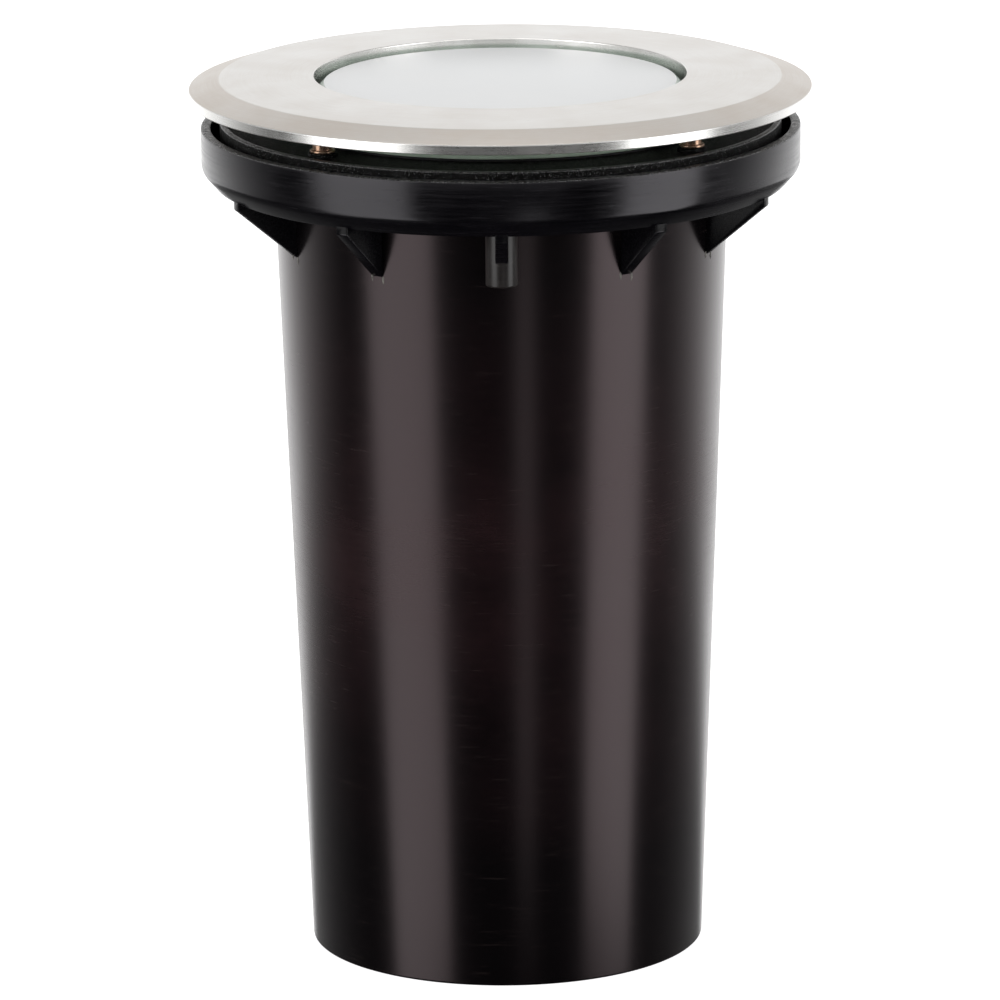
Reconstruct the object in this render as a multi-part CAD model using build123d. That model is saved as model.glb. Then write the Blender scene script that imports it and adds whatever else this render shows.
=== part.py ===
from build123d import *
import os
from math import atan2, cos, degrees, hypot, pi, radians, sin, tan

# In ground well light: a tapered canister with a collar bonded on it, and a lamp unit that drops in.
# Millimetres. +Z is up and the origin is the centre of the canister's foot.
# The viewer of the product stands at -Y. Angles are degrees from +X, towards +Y.

# --- driving sizes: trim ring and glass ---
ring_radius = 100.0
ring_face_width = 40.2            # from the light opening to the ring's outer edge
ring_bevel_width = 10.0
ring_bevel_drop = 3.2
ring_edge_height = 3.1
ring_crown = 0.8                  # the face rises this much from the bevel to the opening
ring_edge_round = 0.3
opening_edge_round = 0.4
ring_overlap = 3.7                # how far the ring covers the paving beyond the collar
glass_side_gap = 1.5              # opening wall to the glass
glass_thickness = 11.6
glass_flange_thickness = 6.0
glass_flange_width = 12.1         # how far the flange reaches under the ring
glass_chamfer = 1.7
glass_flange_chamfer = 0.5

# --- driving sizes: canister and collar, which make the sleeve ---
sleeve_height = 270.2
collar_wall = 3.2
collar_depth = 14.7               # collar rim down to the ledge
collar_rim_round = 0.6
collar_chamfer_height = 5.0
collar_chamfer_width = 4.5
ledge_thickness = 3.5
shoulder_width = 23.3             # collar's outside to the canister's outside
canister_wall = 3.2
canister_draft = 2.09             # degrees
bond_gap = 0.15                   # glue line between the canister and the collar
floor_height = 16.0               # foot up to the underside of the floor
floor_thickness = 4.0
foot_fillet = 0.8
gusset_count = 11
gusset_thickness = 4.1
gusset_reach = 3.9                # from the collar's outside in to the gusset's edge
gusset_edge_height = 2.0
gusset_height = 19.0
boss_count = 3
boss_radius = 5.15
boss_length = 18.5
boss_circle_inset = 18.8          # collar's outside in to the bosses' circle
insert_length = 12.0
insert_wall = 1.4
bracket_screw_radius = 2.1
front_angle = -90.0
drain_count = 6
drain_radius = 4.5
drain_circle = 42.0
floor_rib_thickness = 2.5
floor_rib_height = 8.0
floor_rib_gap = 3.0               # grommet's lip to the ribs
cable_radius = 4.2                # bore of the grommet, for the supply cable
grommet_wall = 3.2
grommet_lip = 3.0

# --- driving sizes: lens frame, gaskets and diffuser ---
sleeve_gasket_thickness = 2.0
sleeve_gasket_width = 7.0
lift_gap = 2.9                    # frame's rim to the inside of the collar
frame_height = 14.1               # skirt's foot up to the glass seat
frame_rim_height = 0.6
frame_rim_width = 1.8
frame_skirt_wall = 2.2
frame_web_thickness = 4.7
frame_rib_count = 12
frame_rib_thickness = 3.0
frame_rib_height = 5.0
frame_hub_depth = 4.4
pad_radius = 4.7
pad_height = 1.4
lower_gasket_thickness = 0.8
upper_gasket_thickness = 1.0
gasket_inset = 1.0                # gaskets' edges in from the glass flange and the opening
light_opening_inset = 3.3         # ring's opening to the frame's opening
diffuser_thickness = 2.0
diffuser_ledge = 2.5
diffuser_play = 0.2
diffuser_depth = 3.4              # glass seat down to the diffuser's seat
retainer_height = 2.0
retainer_width = 2.0

# --- driving sizes: fasteners ---
ring_screw_count = 4
ring_screw_start = 47.0
ring_screw_inset = 8.2            # frame's outside in to the ring screws' circle
ring_screw_radius = 2.0
ring_screw_depth = 4.5
spacer_radius = 3.2
spacer_foot_radius = 4.0
spacer_foot_height = 1.0
housing_screw_count = 6
housing_screw_radius = 2.0
housing_screw_depth = 4.0
head_ratio = 1.75                 # head radius over shank radius
head_height = 2.6
head_round = 1.0
socket_depth = 1.5
socket_ratio = 1.5                # socket across flats over shank radius
thread_play = 0.05
shank_play = 0.25

# --- driving sizes: lamp housing ---
housing_wall = 2.6
housing_gap = 4.5                 # housing to the inside of the canister
housing_length = 203.9
housing_floor = 4.0
housing_foot_round = 2.0
housing_flange_thickness = 4.0
housing_flange_width = 9.2
housing_screw_inset = 5.1         # flange's edge in to the screws' circle
housing_seal_thickness = 1.0
seat_play = 0.3
cut_through = 1.0                 # cuts run this far past the faces that they open

# --- driving sizes: gimbal, cradle and lamp, heights from the pivot axis ---
pivot_depth = 31.9                # housing mouth down to the pivot axis
gimbal_half_height = 6.0
gimbal_band = 3.2
gimbal_play = 0.6
gimbal_tab_thickness = 2.5
gimbal_tab_width = 13.0
gimbal_tab_count = 3
lug_length = 28.0
lug_width = 10.0
gimbal_screw_radius = 1.5
gimbal_screw_length = 12.0
lamp_radius = 47.5
lamp_rim_height = 10.8
cradle_play = 0.6
cradle_wall = 2.2
cradle_shelf_height = 2.0
cradle_shelf_width = 3.0
cradle_below = 7.0
cradle_above = 7.8
cradle_swing_play = 1.0
cradle_boss_radius = 6.0
cradle_boss_reach = 4.0
pivot_radius = 2.5
pivot_play = 0.05
pivot_head_radius = 4.0
pivot_head_thickness = 1.0
washer_play = 0.2
snap_ring_thickness = 1.2
snap_ring_groove = 0.8
snap_ring_reach = 2.5             # how far it reaches in over the lamp's rim
snap_ring_opening = 30.0          # degrees left open, to squeeze it out
lamp_rim_wall = 1.2
lamp_lens_thickness = 3.5
lamp_lens_seat = 2.8
lamp_lens_play = 0.1
lamp_shoulder_inset = 0.8
lamp_shoulder_drop = 6.0
lamp_waist_radius = 30.6
lamp_waist_height = 20.0
lamp_foot_radius = 20.1
lamp_neck_radius = 17.5
lamp_body_bottom = -66.0
fin_count = 18
fin_thickness = 2.0
fin_depth = 6.0
board_thickness = 1.6
board_seat = 1.0                  # lamp's rim underside up to the board
board_inset = 8.0
chip_size = 5.0
chip_height = 1.2
chip_count = 6
chip_circle = 24.0
cap_radius = 13.2
cap_sheet = 0.8
cap_length = 24.0
cap_thread_depth = 0.7
cap_thread_pitch = 3.6
cap_thread_crest = 0.4            # share of the pitch
cap_end_length = 5.0
contact_radius = 4.5
contact_height = 2.0
contact_border = 0.5

# --- driving sizes: lampholder, wiring and cable gland ---
holder_radius = 20.0
holder_length = 56.0
holder_top = -72.0
holder_cavity_depth = 29.0
holder_foot_radius = 15.0
holder_foot_height = 8.0
holder_waist_radius = 18.4
holder_collar_height = 12.0
holder_collar_step = 2.0
holder_round = 1.0
holder_mouth_play = 0.2
holder_shell_play = 0.4
holder_shell_sheet = 0.7
holder_shell_length = 24.0
holder_shell_drop = 2.0
holder_contact_border = 2.0
holder_contact_foot = 1.0
lead_radius = 1.2
lead_hole_radius = 1.6
lead_hole_depth = 10.0
lead_spacing = 12.0
lead_entry = 8.0
lead_tip_share = 0.7              # how much of its entry a lead fills
lead_rise_share = 0.42            # straight end of a lead, over the height between its ends
lead_bend_share = 0.45            # bend over the shorter run beside it
terminal_ways = 3
terminal_depth = 20.0
terminal_height = 18.0
terminal_offset = -34.0
terminal_corner_round = 1.5
terminal_screw_radius = 2.0
terminal_screw_sink = 1.5
terminal_screw_place = 0.3        # share of the block's depth, from its middle
terminal_slot_width = 0.8
terminal_slot_depth = 1.0
gland_offset = 24.0
gland_thread_radius = 9.8
gland_bore_radius = 5.6
gland_hex_height = 6.0
gland_thread_above = 10.0
gland_neck_length = 11.0
gland_nut_length = 18.0
gland_flat_margin = 2.2           # thread's radius to the hexagon's flats
gland_neck_inset = 1.2
gland_washer_thickness = 1.5
gland_washer_inset = 0.5
gland_locknut_height = 5.0
gland_nut_gap = 1.0
gland_dome_height = 5.0
gland_dome_inset = 1.0
gland_cone_height = 4.0
gland_corner_ratio = 0.58         # hexagon's corner radius, slightly cut, over its flats
seal_bore_radius = 3.9
seal_border = 3.0

# --- heights that follow ---
slope = tan(radians(canister_draft))
ledge_top = sleeve_height - collar_depth
ledge_bottom = ledge_top - ledge_thickness
frame_bottom = ledge_top + sleeve_gasket_thickness
frame_top = frame_bottom + frame_height
web_bottom = frame_top - frame_web_thickness
pad_top = frame_top + pad_height
glass_bottom = frame_top + lower_gasket_thickness
glass_shoulder = glass_bottom + glass_flange_thickness
glass_top = glass_bottom + glass_thickness
ring_bottom = glass_shoulder + upper_gasket_thickness
ring_edge_top = ring_bottom + ring_edge_height
ring_face_outer = ring_edge_top + ring_bevel_drop
ring_top = ring_face_outer + ring_crown
housing_top = web_bottom - housing_seal_thickness
housing_bottom = housing_top - housing_length
floor_top = floor_height + floor_thickness
pivot_height = housing_top - pivot_depth
gimbal_bottom = pivot_height - gimbal_half_height

# --- radii that follow ---
opening_radius = ring_radius - ring_face_width
collar_radius = ring_radius - ring_overlap
collar_inside = collar_radius - collar_wall
canister_top_radius = collar_radius - shoulder_width
frame_radius = collar_inside - lift_gap
skirt_inside = frame_radius - frame_skirt_wall
light_opening = opening_radius - light_opening_inset
diffuser_radius = light_opening + diffuser_ledge - diffuser_play
glass_boss_radius = opening_radius - glass_side_gap
glass_flange_radius = opening_radius + glass_flange_width
ring_screw_circle = frame_radius - ring_screw_inset
boss_circle = collar_radius - boss_circle_inset


def canister_outside(height):
    return canister_top_radius - (ledge_bottom - height) * slope


def canister_inside(height):
    return canister_outside(height) - canister_wall


def housing_outside(height):
    return canister_inside(height) - housing_gap


def housing_inside(height):
    return housing_outside(height) - housing_wall


housing_flange_radius = housing_outside(housing_top) + housing_flange_width
housing_screw_circle = housing_flange_radius - housing_screw_inset
frame_hub_radius = housing_inside(housing_top - frame_hub_depth) - seat_play
gimbal_radius = housing_inside(gimbal_bottom) - gimbal_play
gimbal_inside = gimbal_radius - gimbal_band
gimbal_screw_circle = gimbal_inside - head_ratio * gimbal_screw_radius - seat_play
cradle_inside = lamp_radius + cradle_play
cradle_radius = cradle_inside + cradle_wall
cradle_boss_face = cradle_radius + cradle_boss_reach
cradle_swing = hypot(cradle_radius, max(cradle_above, cradle_below)) + cradle_swing_play
rim_bottom = cradle_shelf_height - cradle_below
rim_top = rim_bottom + lamp_rim_height
gland_across_flats = 2 * (gland_thread_radius + gland_flat_margin)
gland_neck_radius = gland_thread_radius - gland_neck_inset


# --- shared shapes ---
def solid_of(points):
    """Turns a closed outline of (radius, height) points into a solid of revolution."""
    outline = make_face(Polyline([(r, 0, z) for r, z in points], close=True))
    return revolve(outline, Axis.Z, 360)


def tube(outer, inner, low, high):
    return solid_of([(inner, low), (outer, low), (outer, high), (inner, high)])


def disc(radius, low, high):
    return solid_of([(0, low), (radius, low), (radius, high), (0, high)])


def around(shape, count, start=0.0):
    """Copies a shape to equal steps about the Z axis."""
    return [Rot(0, 0, start + 360.0 * i / count) * shape for i in range(count)]


def block(x, y, z):
    """A box between the two ends given for each axis."""
    size = (x[1] - x[0], y[1] - y[0], z[1] - z[0])
    middle = ((x[0] + x[1]) / 2, (y[0] + y[1]) / 2, (z[0] + z[1]) / 2)
    return Pos(*middle) * Box(*size)


def hexagon(across_flats, low, high):
    flat = RegularPolygon(across_flats / 2, 6, major_radius=False)
    return Pos(0, 0, low) * extrude(flat, high - low)


def rounded(shape, radius, at_radius, at_height, reach=0.05):
    """Rounds the circular edges found at a given radius and height."""
    edges = []
    for edge in shape.edges().filter_by(GeomType.CIRCLE):
        same_radius = abs(edge.radius - at_radius) < reach
        same_height = abs(edge.center(CenterOf.BOUNDING_BOX).Z - at_height) < reach
        if same_radius and same_height:
            edges.append(edge)
    return fillet(edges, radius)


def at_housing_screws(shape):
    start = 180.0 / housing_screw_count
    return around(Pos(housing_screw_circle, 0, 0) * shape, housing_screw_count, start)


def at_gimbal_screws(shape):
    return around(Pos(gimbal_screw_circle, 0, 0) * shape, gimbal_tab_count, -front_angle)


def pan_screw(shank_radius, head_bottom, tip, up=True):
    """A pan head screw on the Z axis. Its shank runs from under the head to the tip."""
    step = -head_height if up else head_height
    head_radius = shank_radius * head_ratio
    low, high = sorted((head_bottom, head_bottom + step))
    head = disc(head_radius, low, high)
    head = rounded(head, head_round, head_radius, head_bottom + step)
    socket_end = head_bottom + step - socket_depth * step / head_height
    socket = hexagon(shank_radius * socket_ratio, *sorted((head_bottom + step, socket_end)))
    low, high = sorted((head_bottom, tip))
    return head - socket + disc(shank_radius, low, high)


def save(name, shapes):
    """Writes one node. A list becomes a group of separate solids."""
    if isinstance(shapes, list):
        solids = []
        for shape in shapes:
            solids.extend(shape.solids())
        shape = Compound(children=solids)
    else:
        shape = shapes
    export_step(shape, f"parts/{name}.step")


# --- sleeve: canister and collar ---
def canister_core(low, high, play=0.0):
    """The tapered solid inside the canister's outer face, let out by a play."""
    return solid_of([
        (0, low), (canister_outside(low) + play, low), (canister_outside(high) + play, high),
        (0, high),
    ])


def floor_rib():
    grommet_edge = cable_radius + grommet_wall + grommet_lip
    return block(
        (grommet_edge + floor_rib_gap, canister_inside(0) + canister_wall / 2),
        (-floor_rib_thickness / 2, floor_rib_thickness / 2),
        (floor_height - floor_rib_height, floor_height + floor_thickness / 2),
    )


def sleeve_canister():
    canister = solid_of([
        (canister_inside(0), 0), (canister_outside(0), 0),
        (canister_outside(ledge_top), ledge_top), (canister_inside(ledge_top), ledge_top),
    ])
    canister = rounded(canister, foot_fillet, canister_outside(0), 0)
    canister += disc(canister_inside(floor_height) + canister_wall / 2, floor_height, floor_top)
    canister += around(floor_rib(), drain_count, 180.0 / drain_count)
    cut_low = floor_height - cut_through
    cut_high = floor_top + cut_through
    canister -= disc(cable_radius + grommet_wall, cut_low, cut_high)
    drain = Pos(drain_circle, 0, 0) * disc(drain_radius, cut_low, cut_high)
    return canister - around(drain, drain_count)


def collar_gusset():
    edge = collar_radius - gusset_reach
    low = ledge_bottom - gusset_height
    root = canister_outside(low)
    inside = root - canister_wall / 2
    top = ledge_bottom + ledge_thickness / 2
    points = [
        (inside, top), (edge, top), (edge, ledge_bottom - gusset_edge_height),
        (root, low), (inside, low),
    ]
    outline = make_face(Polyline([(r, 0, z) for r, z in points], close=True))
    return extrude(outline, gusset_thickness / 2, both=True)


def collar_boss():
    low = ledge_bottom - boss_length
    inside = canister_outside(low) - canister_wall / 2
    top = ledge_bottom + ledge_thickness / 2
    web = block((inside, boss_circle), (-boss_radius, boss_radius), (low, top))
    return Pos(boss_circle, 0, 0) * disc(boss_radius, low, top) + web


def sleeve_collar():
    """The collar, its ledge, gussets and bosses. Its bore fits the canister's taper."""
    collar = solid_of([
        (canister_outside(ledge_bottom), ledge_bottom),
        (collar_radius - collar_chamfer_width, ledge_bottom),
        (collar_radius, ledge_bottom + collar_chamfer_height),
        (collar_radius, sleeve_height), (collar_inside, sleeve_height),
        (collar_inside, ledge_top), (canister_outside(ledge_bottom), ledge_top),
    ])
    for radius in (collar_radius, collar_inside):
        collar = rounded(collar, collar_rim_round, radius, sleeve_height)
    collar += around(collar_gusset(), gusset_count, front_angle)
    collar += around(collar_boss(), boss_count, front_angle)
    collar -= canister_core(0, ledge_top + cut_through, bond_gap)
    boss_foot = ledge_bottom - boss_length
    insert_hole = disc(
        bracket_screw_radius + insert_wall, boss_foot - cut_through, boss_foot + insert_length
    )
    return collar - around(Pos(boss_circle, 0, 0) * insert_hole, boss_count, front_angle)


def boss_inserts():
    low = ledge_bottom - boss_length
    insert = tube(
        bracket_screw_radius + insert_wall, bracket_screw_radius, low, low + insert_length
    )
    return around(Pos(boss_circle, 0, 0) * insert, boss_count, front_angle)


def cable_grommet():
    hole = cable_radius + grommet_wall
    lip = hole + grommet_lip
    low = floor_height - grommet_lip
    high = floor_top + grommet_lip
    return solid_of([
        (cable_radius, low), (lip - grommet_lip / 2, low), (lip, low + grommet_lip / 2),
        (lip, floor_height), (hole, floor_height), (hole, floor_top), (lip, floor_top),
        (lip, high - grommet_lip / 2), (lip - grommet_lip / 2, high), (cable_radius, high),
    ])


def sleeve_gasket():
    outer = collar_inside - seat_play
    return tube(outer, outer - sleeve_gasket_width, ledge_top, frame_bottom)


# --- trim ring, glass and lens frame ---
def trim_ring():
    face_edge = ring_radius - ring_bevel_width
    ring = solid_of([
        (opening_radius, ring_bottom), (ring_radius, ring_bottom),
        (ring_radius, ring_edge_top), (face_edge, ring_face_outer),
        (opening_radius, ring_top),
    ])
    ring = rounded(ring, ring_edge_round, ring_radius, ring_edge_top)
    ring = rounded(ring, opening_edge_round, opening_radius, ring_top)
    hole = disc(
        ring_screw_radius + thread_play,
        ring_bottom - cut_through,
        ring_bottom + ring_screw_depth,
    )
    ring -= around(Pos(ring_screw_circle, 0, 0) * hole, ring_screw_count, ring_screw_start)
    return ring


def ring_spacers():
    bore = ring_screw_radius + shank_play
    foot_top = pad_top + spacer_foot_height
    spacer = solid_of([
        (bore, pad_top), (spacer_foot_radius, pad_top), (spacer_foot_radius, foot_top),
        (spacer_radius, foot_top), (spacer_radius, ring_bottom), (bore, ring_bottom),
    ])
    return around(Pos(ring_screw_circle, 0, 0) * spacer, ring_screw_count, ring_screw_start)


def ring_screws():
    tip = ring_bottom + ring_screw_depth - seat_play
    screw = pan_screw(ring_screw_radius, web_bottom, tip)
    return around(Pos(ring_screw_circle, 0, 0) * screw, ring_screw_count, ring_screw_start)


def lens_glass():
    side = glass_boss_radius
    chamfer = glass_flange_chamfer
    return solid_of([
        (0, glass_bottom), (glass_flange_radius - chamfer, glass_bottom),
        (glass_flange_radius, glass_bottom + chamfer),
        (glass_flange_radius, glass_shoulder - chamfer),
        (glass_flange_radius - chamfer, glass_shoulder), (side, glass_shoulder),
        (side, glass_top - glass_chamfer), (side - glass_chamfer, glass_top), (0, glass_top),
    ])


def gasket(low, high):
    return tube(glass_flange_radius - gasket_inset, opening_radius + gasket_inset, low, high)


def upper_gasket():
    return gasket(glass_shoulder, ring_bottom)


def lower_gasket():
    return gasket(frame_top, glass_bottom)


def lens_frame():
    frame_rim_top = frame_top + frame_rim_height
    rim_inside = frame_radius - frame_rim_width
    seat = light_opening + diffuser_ledge
    diffuser_seat = frame_top - diffuser_depth
    hub_bottom = housing_top - frame_hub_depth
    frame = solid_of([
        (light_opening, hub_bottom), (frame_hub_radius, hub_bottom),
        (frame_hub_radius, web_bottom), (skirt_inside, web_bottom),
        (skirt_inside, frame_bottom), (frame_radius, frame_bottom),
        (frame_radius, frame_rim_top), (rim_inside, frame_rim_top),
        (rim_inside, frame_top), (seat, frame_top),
        (seat, diffuser_seat), (light_opening, diffuser_seat),
    ])
    rib = block(
        (housing_flange_radius + seat_play, skirt_inside + frame_skirt_wall / 2),
        (-frame_rib_thickness / 2, frame_rib_thickness / 2),
        (web_bottom - frame_rib_height, web_bottom + frame_web_thickness / 2),
    )
    frame += around(rib, frame_rib_count, front_angle)
    pad = disc(pad_radius, web_bottom + frame_web_thickness / 2, pad_top)
    frame += around(Pos(ring_screw_circle, 0, 0) * pad, ring_screw_count, ring_screw_start)
    hole = disc(ring_screw_radius + shank_play, web_bottom - cut_through, pad_top + cut_through)
    frame -= around(Pos(ring_screw_circle, 0, 0) * hole, ring_screw_count, ring_screw_start)
    blind = disc(
        housing_screw_radius + thread_play,
        web_bottom - cut_through,
        web_bottom + housing_screw_depth,
    )
    frame -= at_housing_screws(blind)
    return frame


def diffuser():
    low = frame_top - diffuser_depth
    return disc(diffuser_radius, low, low + diffuser_thickness)


def diffuser_retainer():
    low = frame_top - diffuser_depth + diffuser_thickness
    inner = diffuser_radius - retainer_width
    return tube(diffuser_radius, inner, low, low + retainer_height)


# --- lamp housing ---
def housing_lugs():
    """Lugs that carry the gimbal ring. Their feet slope at 45 degrees to the wall."""
    low = gimbal_bottom - lug_length
    outside = housing_inside(low) + housing_wall / 2
    points = [
        (cradle_swing, gimbal_bottom), (outside, gimbal_bottom), (outside, low),
        (cradle_swing, low + outside - cradle_swing),
    ]
    outline = make_face(Polyline([(r, 0, z) for r, z in points], close=True))
    lug = extrude(outline, lug_width / 2, both=True)
    return around(lug, gimbal_tab_count, -front_angle)


def lamp_housing():
    low = housing_bottom
    flange_low = housing_top - housing_flange_thickness
    inner_low = low + housing_floor
    pot = solid_of([
        (0, low), (housing_outside(low), low),
        (housing_outside(flange_low), flange_low),
        (housing_flange_radius, flange_low), (housing_flange_radius, housing_top),
        (housing_inside(housing_top), housing_top),
        (housing_inside(inner_low), inner_low), (0, inner_low),
    ])
    pot = rounded(pot, housing_foot_round, housing_outside(low), low)
    pot += housing_lugs()
    pot -= at_gimbal_screws(disc(
        gimbal_screw_radius + thread_play,
        gimbal_bottom - gimbal_screw_length,
        gimbal_bottom + cut_through,
    ))
    pot -= at_housing_screws(disc(
        housing_screw_radius + shank_play, flange_low - cut_through, housing_top + cut_through
    ))
    gland_hole = disc(gland_thread_radius + shank_play, low - cut_through, inner_low + cut_through)
    return pot - Pos(0, gland_offset, 0) * gland_hole


def housing_seal():
    outer = housing_flange_radius
    inner = housing_inside(housing_top)
    seal = tube(outer, inner, housing_top, web_bottom)
    return seal - at_housing_screws(disc(
        housing_screw_radius + shank_play, housing_top - cut_through, web_bottom + cut_through
    ))


def housing_screws():
    flange_low = housing_top - housing_flange_thickness
    tip = web_bottom + housing_screw_depth - seat_play
    return at_housing_screws(pan_screw(housing_screw_radius, flange_low, tip))


# --- gimbal and cradle ---
def along_x(shape):
    """Turns a shape that stands on the Z axis so that it points along +X at the pivot height."""
    return Pos(0, 0, pivot_height) * Rot(0, 90, 0) * shape


def gimbal_ring():
    high = pivot_height + gimbal_half_height
    ring = tube(gimbal_radius, gimbal_inside, gimbal_bottom, high)
    tab = block(
        (cradle_swing, gimbal_radius - gimbal_band / 2),
        (-gimbal_tab_width / 2, gimbal_tab_width / 2),
        (gimbal_bottom, gimbal_bottom + gimbal_tab_thickness),
    )
    ring += around(tab, gimbal_tab_count, -front_angle)
    ring -= at_gimbal_screws(disc(
        gimbal_screw_radius + shank_play, gimbal_bottom - cut_through, high
    ))
    past = gimbal_radius + cut_through
    ring -= around(along_x(disc(pivot_radius, cradle_swing, past)), 2)
    ring -= around(along_x(disc(pivot_head_radius, pin_head_low(), past)), 2)
    return ring


def gimbal_screws():
    head_bottom = gimbal_bottom + gimbal_tab_thickness
    tip = gimbal_bottom - gimbal_screw_length + seat_play
    return at_gimbal_screws(pan_screw(gimbal_screw_radius, head_bottom, tip, up=False))


def pin_head_low():
    return gimbal_radius - pivot_head_thickness - seat_play


def pivot_pins():
    head_low = pin_head_low()
    pin = disc(pivot_radius, cradle_inside + seat_play, head_low)
    pin += disc(pivot_head_radius, head_low, head_low + pivot_head_thickness)
    return around(along_x(pin), 2)


def friction_washers():
    half_width = cradle_boss_radius
    band_face = (gimbal_inside ** 2 - half_width ** 2) ** 0.5
    low = cradle_boss_face + washer_play
    high = band_face - washer_play
    washer = tube(half_width, pivot_radius + pivot_play, low, high)
    return around(along_x(washer), 2)


def lamp_cradle():
    low = pivot_height - cradle_below
    high = pivot_height + cradle_above
    shelf_top = low + cradle_shelf_height
    groove_low = pivot_height + rim_top
    groove_high = groove_low + snap_ring_thickness + seat_play
    cradle = solid_of([
        (cradle_inside - cradle_shelf_width, low), (cradle_radius, low), (cradle_radius, high),
        (cradle_inside, high), (cradle_inside, groove_high),
        (cradle_inside + snap_ring_groove, groove_high),
        (cradle_inside + snap_ring_groove, groove_low), (cradle_inside, groove_low),
        (cradle_inside, shelf_top), (cradle_inside - cradle_shelf_width, shelf_top),
    ])
    boss_root = (cradle_radius ** 2 - cradle_boss_radius ** 2) ** 0.5 - cradle_wall / 2
    cradle += around(along_x(disc(cradle_boss_radius, boss_root, cradle_boss_face)), 2)
    hole = disc(
        pivot_radius + pivot_play,
        cradle_inside - cradle_shelf_width - cut_through,
        cradle_boss_face + cut_through,
    )
    cradle -= around(along_x(hole), 2)
    return cradle


def snap_ring():
    low = pivot_height + rim_top + seat_play / 2
    outer = cradle_inside + snap_ring_groove - seat_play / 2
    ring = tube(outer, lamp_radius - snap_ring_reach, low, low + snap_ring_thickness)
    reach = cradle_radius * 2
    half = radians(snap_ring_opening / 2)
    wedge = make_face(Polyline(
        [(0, 0), (reach * cos(half), reach * sin(half)), (reach * cos(half), -reach * sin(half))],
        close=True,
    ))
    cut = Pos(0, 0, low - cut_through) * extrude(wedge, snap_ring_thickness + 2 * cut_through)
    return ring - Rot(0, 0, -front_angle) * cut


# --- lamp: a sealed reflector lamp with a screw cap ---
def lamp_outline(inset):
    """Outer outline of the lamp below its rim, moved in by an inset."""
    under_rim = cradle_inside - cradle_shelf_width - seat_play
    return [
        (under_rim - inset, rim_bottom),
        (under_rim - inset - lamp_shoulder_inset, rim_bottom - lamp_shoulder_drop),
        (lamp_waist_radius - inset, lamp_body_bottom + lamp_waist_height),
        (lamp_foot_radius - inset, lamp_body_bottom),
    ]


def lamp_body():
    core = lamp_outline(fin_depth)
    core[0] = lamp_outline(0)[0]
    core[-1] = (lamp_neck_radius, lamp_body_bottom)
    spigot = cap_radius - cap_sheet - thread_play * 2
    spigot_end = lamp_body_bottom - cap_length + cap_end_length
    seat = rim_top - lamp_lens_thickness
    rim_inner = lamp_radius - lamp_rim_wall
    body = solid_of([
        (0, spigot_end), (spigot, spigot_end), (spigot, lamp_body_bottom),
        *reversed(core), (lamp_radius, rim_bottom), (lamp_radius, rim_top),
        (rim_inner, rim_top), (rim_inner, seat), (rim_inner - lamp_lens_seat, seat),
        (lamp_radius - board_inset, rim_bottom + board_seat), (0, rim_bottom + board_seat),
    ])
    fin = block(
        (lamp_neck_radius / 2, lamp_radius),
        (-fin_thickness / 2, fin_thickness / 2),
        (lamp_body_bottom, rim_bottom),
    )
    envelope = solid_of([(0, lamp_body_bottom), *reversed(lamp_outline(0)), (0, rim_bottom)])
    body += [piece & envelope for piece in around(fin, fin_count)]
    return Pos(0, 0, pivot_height) * body


def lamp_lens():
    low = pivot_height + rim_top - lamp_lens_thickness
    radius = lamp_radius - lamp_rim_wall - lamp_lens_play
    return disc(radius, low, pivot_height + rim_top)


def led_board():
    low = pivot_height + rim_bottom + board_seat
    return disc(lamp_radius - board_inset, low, low + board_thickness)


def led_chips():
    low = pivot_height + rim_bottom + board_seat + board_thickness
    half = chip_size / 2
    chip = block((-half, half), (-half, half), (low, low + chip_height))
    return [chip] + around(Pos(chip_circle, 0, 0) * chip, chip_count)


def lamp_cap():
    high = pivot_height + lamp_body_bottom
    low = high - cap_length
    root = cap_radius - cap_thread_depth
    slant = cap_thread_pitch * (1 - cap_thread_crest) / 2
    turns = int(cap_length / cap_thread_pitch) - 2
    outline = [(cap_radius - cap_sheet, low), (root, low)]
    for turn in range(turns):
        start = low + cap_thread_pitch * (turn + 0.5)
        outline.append((root, start))
        outline.append((cap_radius, start + slant))
        outline.append((cap_radius, start + cap_thread_pitch - slant))
    outline.append((root, low + cap_thread_pitch * (turns + 0.5)))
    outline.append((cap_radius + cap_thread_depth, high))
    outline.append((cap_radius - cap_sheet, high))
    return solid_of(outline)


def cap_insulator():
    high = pivot_height + lamp_body_bottom - cap_length
    low = high - cap_end_length
    return solid_of([
        (0, low), (contact_radius + contact_border, low),
        (cap_radius - cap_thread_depth, high), (0, high),
    ])


def cap_contact():
    high = pivot_height + lamp_body_bottom - cap_length - cap_end_length
    return disc(contact_radius, high - contact_height, high)


# --- lampholder and wiring ---
def lead_places():
    return [-lead_spacing / 2, lead_spacing / 2]


def lampholder():
    high = pivot_height + holder_top
    low = high - holder_length
    cavity = cap_radius + holder_shell_play + holder_shell_sheet + holder_mouth_play
    cavity_floor = high - holder_cavity_depth
    collar_low = high - holder_collar_height
    holder = solid_of([
        (0, low), (holder_foot_radius, low), (holder_waist_radius, low + holder_foot_height),
        (holder_waist_radius, collar_low - holder_collar_step), (holder_radius, collar_low),
        (holder_radius, high), (cavity, high), (cavity, cavity_floor), (0, cavity_floor),
    ])
    holder = rounded(holder, holder_round, holder_radius, high)
    hole = disc(lead_hole_radius, low - cut_through, low + lead_hole_depth)
    for x in lead_places():
        holder -= Pos(x, 0, 0) * hole
    return holder


def holder_shell():
    high = pivot_height + holder_top - holder_shell_drop
    inner = cap_radius + holder_shell_play
    return tube(inner + holder_shell_sheet, inner, high - holder_shell_length, high)


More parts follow.
